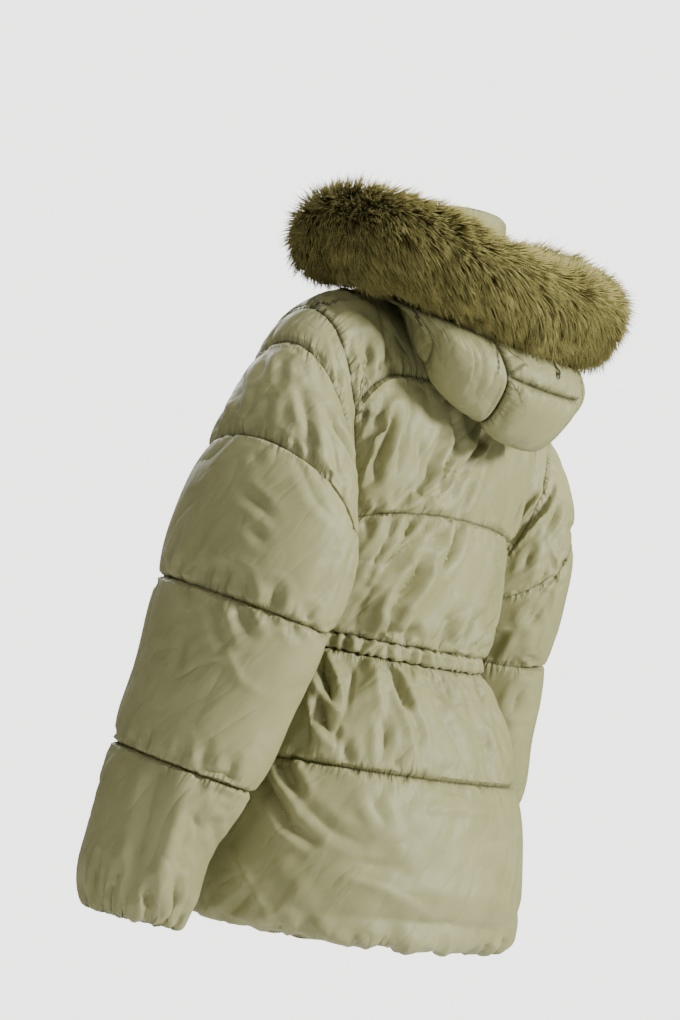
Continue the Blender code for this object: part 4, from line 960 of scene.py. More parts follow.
# The points of each fold are places in the camera's 680 x 1020 picture, in pixels.
FOLDS = [      # piece, factor on the heights, and rows of half width, height and points of the line
    ("left_sleeve_quilted", 0.6, [
        (0.0056, -0.0075, (328, 418), (344, 440), (359, 471)),
        (0.0056, -0.0050, (241, 376), (239, 414)),
        (0.0056, -0.0035, (265, 356), (261, 376)),
        (0.0056, -0.0030, (283, 359), (280, 384)),
        (0.0056, -0.0022, (287, 401), (284, 420)),
        (0.0056, -0.0048, (302, 394), (309, 428), (311, 464)),
        (0.0056, -0.0030, (235, 410), (231, 436)),
        (0.0056, -0.0028, (256, 420), (252, 441)),
        (0.0060, -0.0030, (330, 439), (339, 468), (352, 490)),
        (0.0056, -0.0030, (338, 470), (336, 486)),
        (0.0056, -0.0018, (255, 455), (258, 466)),
        (0.0056, -0.0020, (300, 470), (312, 500), (330, 520)),
        (0.0056, -0.0036, (335, 353), (337, 373), (344, 393)),
        (0.0060, 0.0030, (329, 346), (334, 366), (335, 385)),
        (0.0056, -0.0022, (318, 364), (320, 382)),
    ]),
    ("left_sleeve_quilted", 1.0, [
        (0.0056, -0.0022, (244, 495), (262, 509), (268, 515)),
        (0.0056, -0.0018, (252, 528), (262, 541)),
        (0.0056, -0.0040, (209, 562), (205, 580)),
        (0.0056, -0.0040, (222, 570), (223, 588)),
        (0.0056, -0.0045, (243, 577), (247, 595)),
        (0.0056, -0.0050, (276, 588), (272, 608)),
        (0.0056, -0.0035, (309, 609), (306, 622)),
        (0.0056, -0.0030, (167, 564), (169, 576)),
        (0.0056, -0.0030, (182, 562), (181, 578)),
        (0.0056, -0.0034, (218, 590), (219, 606)),
        (0.0056, -0.0034, (206, 600), (216, 624), (224, 646)),
        (0.0056, -0.0030, (236, 598), (241, 618), (248, 636)),
        (0.0056, -0.0026, (187, 584), (190, 600)),
        (0.0056, -0.0028, (262, 606), (272, 624)),
        (0.0056, -0.0028, (288, 616), (296, 636)),
        (0.0056, -0.0026, (308, 624), (318, 642)),
        (0.0056, 0.0016, (217, 632), (240, 681), (263, 697)),
        (0.0060, -0.0020, (183, 640), (180, 668)),
        (0.0056, -0.0030, (184, 744), (182, 757)),
        (0.0056, -0.0028, (208, 748), (205, 762)),
        (0.0056, -0.0026, (232, 760), (229, 775)),
        (0.0056, -0.0024, (150, 728), (150, 742)),
        (0.0120, 0.0045, (188, 778), (172, 840), (155, 906)),
        (0.0100, -0.0035, (160, 765), (148, 820), (135, 880)),
        (0.0056, -0.0022, (190, 815), (205, 835)),
        (0.0056, -0.0028, (212, 822), (222, 850)),
        (0.0056, -0.0035, (120, 870.5), (112, 906)),
        (0.0056, -0.0040, (150, 885), (148, 916)),
        (0.0056, -0.0040, (176, 880), (172, 918)),
        (0.0056, -0.0030, (100, 860), (96, 895)),
    ]),
    ("back_bodice_quilted", 1.3, [
        (0.0056, -0.0020, (347, 502), (366, 520), (370, 548)),
        (0.0056, -0.0060, (364, 361), (365, 382), (363, 405), (365, 415)),
        (0.0056, -0.0045, (367, 344), (370, 360), (368, 377)),
        (0.0056, -0.0035, (357, 333), (363, 344)),
        (0.0056, -0.0020, (379, 356), (380, 385)),
        (0.0060, -0.0085, (397, 419), (387, 440), (378, 461), (376, 476)),
        (0.0060, 0.0040, (392, 413), (382, 435), (376, 452)),
        (0.0056, -0.0060, (457, 424), (458, 448)),
        (0.0056, -0.0080, (483, 440), (472, 460), (461, 476), (450, 496)),
        (0.0056, -0.0055, (444, 438), (437, 453), (429, 463), (426, 480), (411, 493), (400, 505)),
        (0.0056, -0.0055, (456, 453), (448, 468), (442, 484), (438, 508)),
        (0.0056, -0.0050, (466, 453), (459, 466), (452, 478), (446, 492), (444, 504)),
        (0.0056, -0.0045, (481, 464), (468, 474), (459, 487), (449, 499)),
        (0.0056, -0.0045, (440, 486), (430, 500), (422, 510)),
        (0.0060, -0.0050, (472, 492), (463, 508), (457, 519)),
        (0.0060, -0.0025, (412, 400), (404, 440), (395, 470)),
        (0.0056, -0.0025, (492, 480), (484, 506), (478, 522)),
        (0.0056, -0.0062, (411, 513), (410, 527), (404, 541), (384, 566)),
        (0.0056, -0.0060, (429, 519), (427, 531), (409, 550), (381, 575)),
        (0.0056, -0.0042, (446, 531), (430, 543), (419, 553)),
        (0.0056, -0.0055, (455, 519), (457, 536), (452, 553), (442, 569)),
        (0.0060, -0.0055, (422, 560), (419, 573), (403, 594), (396, 611)),
        (0.0056, -0.0040, (393, 521), (388, 540), (366, 585)),
        (0.0056, -0.0060, (397, 613), (390, 634)),
        (0.0056, -0.0045, (408, 630), (401, 638)),
        (0.0065, -0.0050, (458, 612), (446, 623), (435, 643)),
        (0.0060, -0.0045, (479, 616), (467, 629), (450, 651)),
        (0.0056, -0.0040, (493, 619), (481, 638), (470, 652)),
        (0.0056, -0.0030, (380, 580), (365, 599), (354, 615)),
        (0.0056, -0.0030, (495, 560), (497, 600), (491, 639)),
    ]),
    ("right_sleeve_quilted", 1.0, [
        (0.0056, -0.0075, (551, 494), (529, 521), (511, 540)),
        (0.0056, -0.0050, (542, 503), (527, 526)),
        (0.0056, -0.0035, (561, 500), (548, 528)),
        (0.0056, -0.0035, (534, 606), (527, 620)),
        (0.0056, -0.0040, (553, 590), (530, 625)),
        (0.0060, -0.0050, (501, 634), (489, 654)),
        (0.0056, -0.0030, (545, 560), (538, 590)),
        (0.0056, -0.0030, (528, 552), (526, 566)),
        (0.0056, -0.0030, (520, 690), (512, 710)),
    ]),
    ("back_skirt_quilted", 1.0, [
        (0.0056, -0.0110, (319, 664), (325, 681), (333, 702)),
        (0.0056, -0.0090, (318, 694), (323, 719), (334, 731)),
        (0.0056, 0.0040, (334, 705), (333, 726)),
        (0.0060, -0.0075, (380, 656), (394, 681), (403, 702)),
        (0.0056, -0.0028, (403, 702), (417, 728), (423, 764)),
        (0.0056, -0.0035, (381, 719), (385, 735), (382, 756)),
        (0.0080, 0.0035, (372, 662), (377, 690), (380, 716)),
        (0.0070, -0.0042, (421, 668), (443, 695)),
        (0.0060, -0.0042, (448, 674), (466, 693)),
        (0.0056, -0.0035, (470, 676), (482, 700)),
        (0.0056, -0.0035, (489, 735), (489, 773)),
        (0.0056, -0.0028, (344, 735), (349, 765)),
        (0.0056, -0.0028, (395, 752), (394, 767)),
        (0.0056, -0.0055, (258, 768), (276, 799), (289, 824), (312, 842)),
        (0.0056, -0.0080, (274, 755), (285, 777), (298, 793)),
        (0.0056, -0.0045, (284, 757), (294, 784)),
        (0.0056, 0.0026, (234, 849), (254, 889), (276, 929)),
        (0.0056, -0.0030, (230, 919), (254, 891)),
        (0.0056, 0.0020, (345, 878), (372, 887), (430, 916)),
        (0.0140, -0.0050, (323, 914), (404, 922), (504, 930)),
        (0.0056, 0.0018, (421, 808), (492, 814)),
        (0.0060, -0.0022, (300, 800), (330, 830), (360, 845)),
        (0.0070, -0.0060, (281, 928), (276, 937)),
        (0.0056, -0.0024, (372, 800), (385, 826)),
    ]),
]
CREASE_DEPTH = 1.7        # factor on all their heights
FOLD_REACH = 7.0          # a point is read from the cloth within so many pixels of it
FOLD_FRONT = 0.03         # and no further than this behind the foremost cloth there
FOLD_FIT, FOLD_SLIP = 8, 0.012      # so many nearest points count, and how far their plane may stray


def own_metres(panel):
    """Distances across and down a panel at each point of its fine grid."""
    x = finer_along(panel.across[:, None], False)[:, 0]
    if panel.ring:
        x = np.append(x, 2 * x[-1] - x[-2])
    return np.meshgrid(x, finer_along(panel.down[:, None], False)[:, 0])


def place_folds(panel):
    """Reads the points of a panel's folds in its own metres, from where the camera sees them."""
    turned = np.array(bpy.context.scene.camera.matrix_world)
    outer = finer(panel.outer, panel.ring) - turned[:3, 3]
    n = grid_normals(outer, panel.ring, finer(panel.n, panel.ring))
    facing = (outer * n).sum(-1) < 0
    seen = outer[facing] @ turned[:3, :3] * (1.0, 1.0, -1.0)
    depth = seen[:, 2]
    image = (AIM_X, AIM_Y) + seen[:, :2] * (FOCAL_PIXELS, -FOCAL_PIXELS) / depth[:, None]
    x, y = own_metres(panel)
    own = np.stack([x - x.mean(), y], -1)[facing]
    for name, factor, folds in FOLDS:
        for width, height, *line in folds if name == panel.name else ():
            places = [read_place(np.array(place), image, depth, own) for place in line]
            panel.folds.append((width, height * factor, np.round(places, 3)))


def read_place(place, image, depth, own):
    """One image point in a panel's own metres, from a plane through the nearest seen points."""
    far = np.hypot(*(image - place).T)
    near = np.flatnonzero(far < FOLD_REACH)
    if not len(near):
        return own[far.argmin()]
    near = near[depth[near] < depth[near].min() + FOLD_FRONT]
    near = near[far[near].argsort()[:FOLD_FIT]]
    offsets = np.column_stack([image[near] - place, np.ones(len(near))])
    fitted = np.linalg.lstsq(offsets, own[near], rcond=None)[0][2]
    slipped = len(near) < 4 or np.abs(fitted - own[near[0]]).max() > FOLD_SLIP
    return own[near[0]] if slipped else fitted


LINE_GATHERS = (0.013, 0.0034, 0.0026, 0.014)      # spacing, width, depth and length of the puckers
EDGE_GATHERS = (0.021, 0.0065, 0.0045, 0.040)      # the same at a hem or a cuff
HEM_ROWS, TALL_PANEL = 6, 50       # a sewing line this near the end of a panel this tall is a hem's
CALM_EDGE, CALM_SEAM = 0.010, 0.012    # gathers fade out to a side seam, and folds to any seam
DEEPEST = 0.75            # no fold takes more than this share of the padding


def finish_panel(panel, rng, shell):
    """Builds a panel's finished wall from its swollen shell."""
    outer = finer(panel.outer, panel.ring)
    like = finer(panel.n, panel.ring)
    n = grid_normals(outer, panel.ring, like)
    x, y = own_metres(panel)
    rise = np.zeros(x.shape)
    seam_place, seam_away = x.copy(), np.full(x.shape, 1.0)

    def nearer(place, away):
        closer = np.abs(away) < np.abs(seam_away)
        seam_place[closer], seam_away[closer] = place[closer], away[closer]
    rows = panel.pad.shape[0]
    for number in panel.sewn_rows:
        away = y - panel.down[number]
        nearer(x, away)
        hem = number >= rows - HEM_ROWS and rows > TALL_PANEL
        rise += puckers(rng, x, away, *(EDGE_GATHERS if hem else LINE_GATHERS))
    for number in panel.sewn_columns:
        away = x - panel.across[number]
        nearer(y, away)
        rise += puckers(rng, y, away, *LINE_GATHERS)
    if not panel.ring:
        nearer(y, x - x.min())
        nearer(y, x - x.max())
        rise *= ease(np.minimum(x - x.min(), x.max() - x) / CALM_EDGE)
    nearer(x, y)
    nearer(x, y - y.max())
    from_seam = np.abs(seam_away)
    rise += crease_field(panel.folds, x - x.mean(), y) * CREASE_DEPTH * ease(from_seam / CALM_SEAM)
    stand_off = ((outer - finer(panel.base, panel.ring)) * like).sum(-1)
    rise = np.maximum(rise, -DEEPEST * np.maximum(stand_off, 0.0))
    outer = outer + n * rise[..., None]
    inner = (panel.base - panel.n * CLOTH)[::INNER_SHARE, ::INNER_SHARE]
    obj = closed_wall(panel.name, outer, inner, panel.ring)
    # the distance from the nearest seam also sets where the cloth's material paints shade into the grooves
    store_cloth(obj, inner, (x, y, from_seam), (seam_place, seam_away, 0 * x))
    obj.data.materials.append(shell)
    panel.fine = outer
    return obj


# ---------------- camera, floor and light
CAMERA_AZIMUTH, CAMERA_ROLL = math.radians(125), math.radians(9)
CAMERA_FAR, CAMERA_Z = 3.4, -0.446
IMAGE_WIDE, IMAGE_TALL = 680, 1020
FOCAL_PIXELS = 2788.0
AIM_X, AIM_Y = 359.7, 660.6          # where the camera's level axis meets the image, in pixels
FLOOR_Z, FLOOR_RADIUS = -1.47, 3.0   # under the feet of a wearer 1.75 m tall


def make_camera():
    """The camera, level and turned 9 degrees about its axis, behind the wearer's left side."""
    back = Vector((math.sin(CAMERA_AZIMUTH), -math.cos(CAMERA_AZIMUTH), 0.0))
    right = Vector((math.cos(CAMERA_AZIMUTH), math.sin(CAMERA_AZIMUTH), 0.0))
    up = Vector((0.0, 0.0, 1.0))
    image_right = right * math.cos(CAMERA_ROLL) + up * math.sin(CAMERA_ROLL)
    image_up = up * math.cos(CAMERA_ROLL) - right * math.sin(CAMERA_ROLL)
    turned = Matrix((image_right, image_up, back)).transposed().to_4x4()
    turned.translation = back * CAMERA_FAR + up * CAMERA_Z
    data = bpy.data.cameras.new("camera")
    data.sensor_width = 36.0
    data.lens = FOCAL_PIXELS / IMAGE_TALL * data.sensor_width
    data.shift_x = -(AIM_X - IMAGE_WIDE / 2) / IMAGE_TALL
    data.shift_y = (AIM_Y - IMAGE_TALL / 2) / IMAGE_TALL
    camera = linked("camera", data)
    camera.matrix_world = turned
    bpy.context.scene.camera = camera


def softbox(name, place, target, size, watts):
    """A large soft area light that faces a target."""
    data = bpy.data.lights.new(name, "AREA")
    data.shape, data.size, data.energy = "DISK", size, watts
    light = linked(name, data)
    light.location = place
    light.rotation_euler = (Vector(target) - Vector(place)).to_track_quat("-Z", "Y").to_euler()


def make_studio():
    """A pale floor, a pale surround and the softboxes."""
    ring = [(FLOOR_RADIUS * math.cos(a), FLOOR_RADIUS * math.sin(a), FLOOR_Z)
            for a in np.linspace(0, 2 * math.pi, 96, endpoint=False)]
    floor = add_object("studio_floor", ring, [tuple(range(len(ring)))])
    floor.data.materials.append(matt_paint("pale_floor_paint", "#E9E9E8"))
    world = bpy.data.worlds.new("pale_surround")
    bpy.context.scene.world = world
    world.use_nodes = True
    tree = world.node_tree
    sky = tree.nodes["Background"]
    sky.inputs["Color"].default_value = rgba("#F4F4F2")
    seen = add_node(tree, "ShaderNodeLightPath").outputs["Is Camera Ray"]
    light = add_node(tree, "ShaderNodeMapRange",
                     {"Value": seen, "To Min": ROOM_LIGHT, "To Max": WALL_LIGHT})
    tree.links.new(light.outputs["Result"], sky.inputs["Strength"])
    for row in SOFTBOXES:
        softbox(*row)


ROOM_LIGHT, WALL_LIGHT = 0.25, 3.6      # what the room sheds, and how bright its pale wall looks
SOFTBOXES = [                          # name, place, target, diameter, watts
    ("key_softbox", (-0.65, 3.30, 1.00), (0.0, 0.0, -0.30), 0.9, 272.0),
    ("top_softbox", (-0.10, 0.80, 3.20), (0.0, 0.0, -0.30), 1.2, 110.0),
    ("left_softbox", (2.60, 1.10, 0.90), (0.0, 0.0, -0.10), 1.2, 26.0),
    ("front_softbox", (-1.4, -2.9, 1.6), (0.0, 0.0, -0.35), 1.8, 110.0),
]


# ---------------- materials
def linear(colour):
    """Linear RGB of an sRGB hex colour."""
    channels = [int(colour[i:i + 2], 16) / 255 for i in (1, 3, 5)]
    return tuple(c / 12.92 if c <= 0.04045 else ((c + 0.055) / 1.055)**2.4 for c in channels)


def add_node(tree, kind, links=None, **settings):
    """Adds a node, sets its properties, and sets or links its inputs."""
    made = tree.nodes.new(kind)
    for name, value in settings.items():
        setattr(made, name, value)
    for socket, value in (links or {}).items():
        if isinstance(value, bpy.types.NodeSocket):
            tree.links.new(value, made.inputs[socket])
        else:
            made.inputs[socket].default_value = value
    return made


def new_material(name, roughness, metallic=0.0, **sockets):
    """A material on the standard shader; returns it with its tree and shader."""
    material = bpy.data.materials.new(name)
    material.use_nodes = True
    tree = material.node_tree
    shader = tree.nodes["Principled BSDF"]
    shader.inputs["Roughness"].default_value = roughness
    shader.inputs["Metallic"].default_value = metallic
    for socket, value in sockets.items():
        shader.inputs[socket.replace("_", " ")].default_value = value
    return material, tree, shader


def rgba(colour):
    return (*linear(colour), 1.0)


def ramp(tree, factor, stops):
    """A colour ramp through (place, hex colour) stops."""
    made = add_node(tree, "ShaderNodeValToRGB", {"Fac": factor})
    band = made.color_ramp
    while len(band.elements) < len(stops):
        band.elements.new(0.5)
    for element, (place, colour) in zip(band.elements, stops):
        element.position = place
        element.color = rgba(colour)
    return made.outputs["Color"]


def maths(tree, operation, *values, **settings):
    """The result of a number node on the given values or links."""
    return add_node(tree, "ShaderNodeMath", dict(enumerate(values)), operation=operation,
                    **settings).outputs[0]


def vectors(tree, operation, *values, **inputs):
    """The result of a vector node on the given values or links."""
    return add_node(tree, "ShaderNodeVectorMath", {**dict(enumerate(values)), **inputs},
                    operation=operation).outputs[0]


def object_place(tree):
    return add_node(tree, "ShaderNodeTexCoord").outputs["Object"]


NOISE, WAVE = "ShaderNodeTexNoise", "ShaderNodeTexWave"


def one_texture(name, roughness, kind, inputs, stops, metallic=0.0, bump=None, **settings):
    """A material with one texture that runs through colour stops; bump is strength and depth."""
    material, tree, shader = new_material(name, roughness, metallic)
    drawn = add_node(tree, kind, {"Vector": object_place(tree), **inputs}, **settings).outputs["Fac"]
    tree.links.new(ramp(tree, drawn, stops), shader.inputs["Base Color"])
    if bump:
        strength, deep = bump
        raised = add_node(tree, "ShaderNodeBump",
                          {"Height": drawn, "Strength": strength, "Distance": deep})
        tree.links.new(raised.outputs["Normal"], shader.inputs["Normal"])
    return material


def matt_paint(name, colour):
    """Matt paint, faintly clouded."""
    return one_texture(name, 0.9, NOISE, {"Scale": 1.5, "Detail": 2.0}, [(0.3, colour), (0.7, "#EDEDEC")])


def valley(tree, noise):
    """Sharp valleys between round pillows, made from a noise texture."""
    return maths(tree, "ABSOLUTE", maths(tree, "SUBTRACT", noise.outputs["Fac"], 0.5))


THREAD_PITCH = 0.0011          # the real 0.2 mm threads are drawn coarser, so that the weave shows
WEAVE_STRENGTH, WEAVE_DEEP = 0.10, 0.0002
# width of the painted shade that darkens the cloth along each sewing line's groove
GROOVE_WIDE = 0.0028
TUCKS = [                      # pitch along the seam, length, reach and depth of the fine tucks
    (0.0070, 0.030, 0.016, 0.0070),
    (0.0170, 0.090, 0.034, 0.0075),
]
CRINKLE_TURN = (-0.467, -0.528, 0.0)     # the crinkles lean across the body, in radians
CRINKLES = [                   # folds a metre across, their stretch along themselves, and depth
    (15.0, 0.25, 0.0160),
    (42.0, 0.30, 0.0030),
]
# the groove colour is painted shade: a darker olive painted into the grooves along the sewing lines
SHELL_LOW, SHELL_HIGH, SHELL_GROOVE_SHADE = "#7C7B52", "#8A885F", "#45432A"


def nylon_taffeta():
    """Downproof nylon taffeta, calendered on its face: a soft satin gloss that catches every
    crease, fine tucks where the sewing thread draws it in, and the crinkle of thin pressed cloth."""
    material, tree, shader = new_material("olive_nylon_taffeta", 0.56, Specular_IOR_Level=0.30)
    place = object_place(tree)
    cloth = add_node(tree, "ShaderNodeAttribute", attribute_name="cloth").outputs["Vector"]
    tuck = add_node(tree, "ShaderNodeAttribute", attribute_name="tuck").outputs["Vector"]
    from_seam = add_node(tree, "ShaderNodeSeparateXYZ", {0: cloth}).outputs["Z"]
    cloud = add_node(tree, NOISE, {"Vector": place, "Scale": 9.0, "Detail": 3.0})
    shade = ramp(tree, cloud.outputs["Fac"], [(0.30, SHELL_LOW), (0.70, SHELL_HIGH)])
    # Painted shade: close to a sewing line the colour darkens to the groove colour, as if the groove were
    # shaded
    near = add_node(tree, "ShaderNodeMapRange", {"Value": from_seam, "From Max": GROOVE_WIDE})
    groove_shade_mix = add_node(tree, "ShaderNodeMix", {"Factor": near.outputs[0], 6: rgba(SHELL_GROOVE_SHADE), 7: shade},
                    data_type="RGBA")
    tree.links.new(groove_shade_mix.outputs[2], shader.inputs["Base Color"])
    threads = [add_node(tree, WAVE, {"Vector": cloth, "Scale": 1 / THREAD_PITCH / 20},
                        bands_direction=direction).outputs["Fac"] for direction in ("X", "Y")]
    layers = [(maths(tree, "ADD", *threads), WEAVE_STRENGTH, WEAVE_DEEP)]
    for pitch, long, reach, deep in TUCKS:
        drawn = vectors(tree, "MULTIPLY", tuck, (1 / pitch, 1 / long, 0.0))
        folds = add_node(tree, NOISE, {"Vector": drawn, "Scale": 1.0, "Detail": 1.0, "Distortion": 0.3})
        fade = add_node(tree, "ShaderNodeMapRange",
                        {"Value": from_seam, "From Max": reach, "To Min": 1.0, "To Max": 0.0},
                        interpolation_type="SMOOTHSTEP")
        layers.append((maths(tree, "MULTIPLY", valley(tree, folds), fade.outputs[0]), 1.0, deep))
    for scale, stretch, deep in CRINKLES:
        run = add_node(tree, "ShaderNodeMapping",
                       {"Vector": place, "Rotation": CRINKLE_TURN,
                        "Scale": (1 / scale, 1 / scale, 1 / scale / stretch)}, vector_type="TEXTURE")
        noise = add_node(tree, NOISE, {"Vector": run.outputs[0], "Scale": 1.0, "Detail": 2.0,
                                       "Roughness": 0.45, "Distortion": 0.4})
        layers.append((valley(tree, noise), 1.0, deep))
    under = {}
    for height, strength, deep in layers:
        bump = add_node(tree, "ShaderNodeBump",
                        {"Height": height, "Strength": strength, "Distance": deep, **under})
        under = {"Normal": bump.outputs["Normal"]}
    tree.links.new(under["Normal"], shader.inputs["Normal"])
    return material


FUR_STOPS = [(0.0, "#46421F"), (0.30, "#6A6436"), (0.70, "#827B46"), (1.0, "#989055")]
TONE_SPAN = 0.34               # how far single strands and locks differ along the stops


def fur_pile():
    """Acrylic long pile: dull dark roots and paler tips, so that each lock stands out."""
    material, tree, shader = new_material("olive_acrylic_pile", 0.66, Specular_IOR_Level=0.18)
    height = add_node(tree, "ShaderNodeAttribute", attribute_name="along").outputs["Fac"]
    tone = add_node(tree, "ShaderNodeAttribute", attribute_name="tone").outputs["Fac"]
    lifted = maths(tree, "MULTIPLY_ADD", tone, TONE_SPAN, -TONE_SPAN / 2)
    place = maths(tree, "ADD", height, lifted, use_clamp=True)
    tree.links.new(ramp(tree, place, FUR_STOPS), shader.inputs["Base Color"])
    return material


def backing_cloth():
    """The pile's knitted ground, dark and matt between the roots."""
    return one_texture("pile_ground_knit", 0.95, NOISE, {"Scale": 260.0, "Detail": 2.0},
                       [(0.3, "#332F12"), (0.7, "#4A4520")])


def woven_tape():
    """Twill zip tape in polyester: matt, with a fine rib along its length."""
    return one_texture("polyester_twill_tape", 0.75, WAVE, {"Scale": 60.0, "Distortion": 0.4},
                       [(0.0, "#77734F"), (1.0, "#8D8963")], bump=(0.3, 0.0004), bands_direction="DIAGONAL")


def plated_zinc():
    """Die-cast zinc, plated dark bronze: satin, a little paler where it rubs."""
    return one_texture("bronze_plated_zinc", 0.36, NOISE, {"Scale": 420.0, "Detail": 3.0},
                       [(0.35, "#5C574C"), (0.75, "#837C6C")], metallic=1.0)


def thread(name, low, high):
    """Twisted polyester thread or cord: matt, with fine slanting plies."""
    return one_texture(name, 0.7, WAVE, {"Scale": 220.0}, [(0.0, low), (1.0, high)], bump=(0.4, 0.0003),
                       bands_direction="DIAGONAL")


# ---------------- waist casing
CASING_REACH = 0.147           # mean radius of the gathered waist
RUFFLE_HIGH, RUFFLE_WIDE = 0.0125, (0.0042, 0.0088)
CASING_COLUMNS, CASING_ROWS = 560, 13
CASING_CLOTH, CASING_PAD, CASING_ROUND = 0.002, 0.0035, 0.006     # wall, padding and its edge's roundness
FAR_FROM_SEAM = 0.05           # beyond the seam itself the casing takes no tucks and no painted groove shade


def make_casing(rng, shell):
    """The ruched elastic casing: a narrow tube of cloth gathered into uneven upright ruffles."""
    turn, t = np.meshgrid(np.arange(CASING_COLUMNS) * 2 * math.pi / CASING_COLUMNS,
                          np.linspace(0.004, 0.996, CASING_ROWS))
    base = casing(turn, t)
    n = grid_normals(base, True, points(np.sin(turn), np.cos(turn), 0.0))
    x = turn * CASING_REACH
    long = 2 * math.pi * CASING_REACH
    tall = abs(CASING_BOTTOM - CASING_TOP)
    from_middle = (np.abs(t - 0.5) * 2)**2
    place, rise = 0.0, np.zeros(x.shape)
    while place < long:
        width = rng.uniform(*RUFFLE_WIDE)
        high = rng.uniform(0.4, 1.0) * RUFFLE_HIGH
        slant = rng.normal(0.0, 0.30) * tall
        top, low = rng.uniform(0.5, 1.1), rng.uniform(0.5, 1.1)
        away = x - place - slant * (t - 0.5)
        away = away - long * np.round(away / long)
        u = away / (width * (1 + 0.4 * from_middle))
        rise = np.maximum(rise, high * np.exp(-u**2) * (top + (low - top) * t))
        place += width * rng.uniform(1.6, 2.5)
    edge = np.minimum(t, 1 - t) * tall
    outer = base + n * ((CASING_PAD + rise) * swell(edge, CASING_ROUND))[..., None]
    wave = 0.0012 + 0.0014 * np.sin(61 * turn + 2.0 * np.sin(7 * turn)) + 0.0009 * np.sin(97 * turn + 1.0)
    outer[..., 2] += wave * np.where(t < 0.5, 1.0, -1.0) * from_middle
    inner = (base - n * CASING_CLOTH)[::INNER_STEP, ::INNER_STEP]
    obj = closed_wall("waist_casing_ruched", outer, inner, True)
    # the distance from a seam also sets where the painted groove shade darkens the casing's two rims
    from_seam = edge + FAR_FROM_SEAM * (edge > CASING_CLOTH)
    store_cloth(obj, inner, (x, t * tall, from_seam), (x, edge, 0 * x))
    obj.data.materials.append(shell)
    return obj


# ---------------- repeated pieces
def new_group(name):
    """A geometry node group with a mesh in and a mesh out."""
    tree = bpy.data.node_groups.new(name, "GeometryNodeTree")
    tree.interface.new_socket("Geometry", in_out="INPUT", socket_type="NodeSocketGeometry")
    tree.interface.new_socket("Geometry", in_out="OUTPUT", socket_type="NodeSocketGeometry")
    return tree, tree.nodes.new("NodeGroupInput").outputs["Geometry"], tree.nodes.new("NodeGroupOutput")


def grown(seat, tree, name, material):
    """The plain mesh that a node group makes on a seat mesh; the seat is removed."""
    modifier = seat.modifiers.new("grow", "NODES")
    modifier.node_group = tree
    seat.update_tag()
    graph = bpy.context.evaluated_depsgraph_get()
    mesh = bpy.data.meshes.new_from_object(seat.evaluated_get(graph))
    bpy.data.objects.remove(seat, do_unlink=True)
    obj = linked(name, mesh)
    if not mesh.materials:
        mesh.materials.append(material)
    mesh.shade_smooth()
    return obj


def named_vector(tree, label):
    """A vector stored on the points under a name."""
    return add_node(tree, "GeometryNodeInputNamedAttribute", {"Name": label},
                    data_type="FLOAT_VECTOR").outputs["Attribute"]


def copies_on(tree, dots, seed, up, run, size=(1.0, 1.0, 1.0)):
    """A copy of the seed on every point, stood along `up` and turned towards `run`."""
    stand = add_node(tree, "FunctionNodeAlignRotationToVector", {"Vector": up}, axis="Z")
    turned = add_node(tree, "FunctionNodeAlignRotationToVector",
                      {"Rotation": stand.outputs[0], "Vector": run}, axis="X", pivot_axis="Z")
    shape = add_node(tree, "GeometryNodeObjectInfo", {"Object": seed})
    return add_node(tree, "GeometryNodeInstanceOnPoints",
                    {"Points": dots, "Instance": shape.outputs["Geometry"],
                     "Rotation": turned.outputs[0], "Scale": size}).outputs[0]


def finish_group(tree, end, copies, material):
    """Turns the copies into one plain mesh of the material, which the group hands out."""
    real = add_node(tree, "GeometryNodeRealizeInstances", {"Geometry": copies})
    coloured = add_node(tree, "GeometryNodeSetMaterial",
                        {"Geometry": real.outputs[0], "Material": material})
    tree.links.new(coloured.outputs[0], end.inputs[0])
    return tree


# ---------------- fur
FUR_AROUND, FUR_LONG = 48, 200
COMB_DOWN, COMB_BACK = 0.75, 0.60     # how far the strands lean down, and back along the hood
PILE_DEPTH = 0.017            # from the pile's ground to the roll's outside
STRAND_LONG, STRAND_WIDE = 0.030, 0.00100
LOCK_SIZE = 0.0070            # spacing of the locks that strands gather into
GATHER, SWAY, STRAY = 40.0, 2.8, 0.34      # pull of the locks, of the soft swirls and of chance
SWIRLS, TIP_BEND = 38.0, 0.26              # swirls a metre, and a strand's bend over its length
STRANDS_PER_M2 = 225000.0


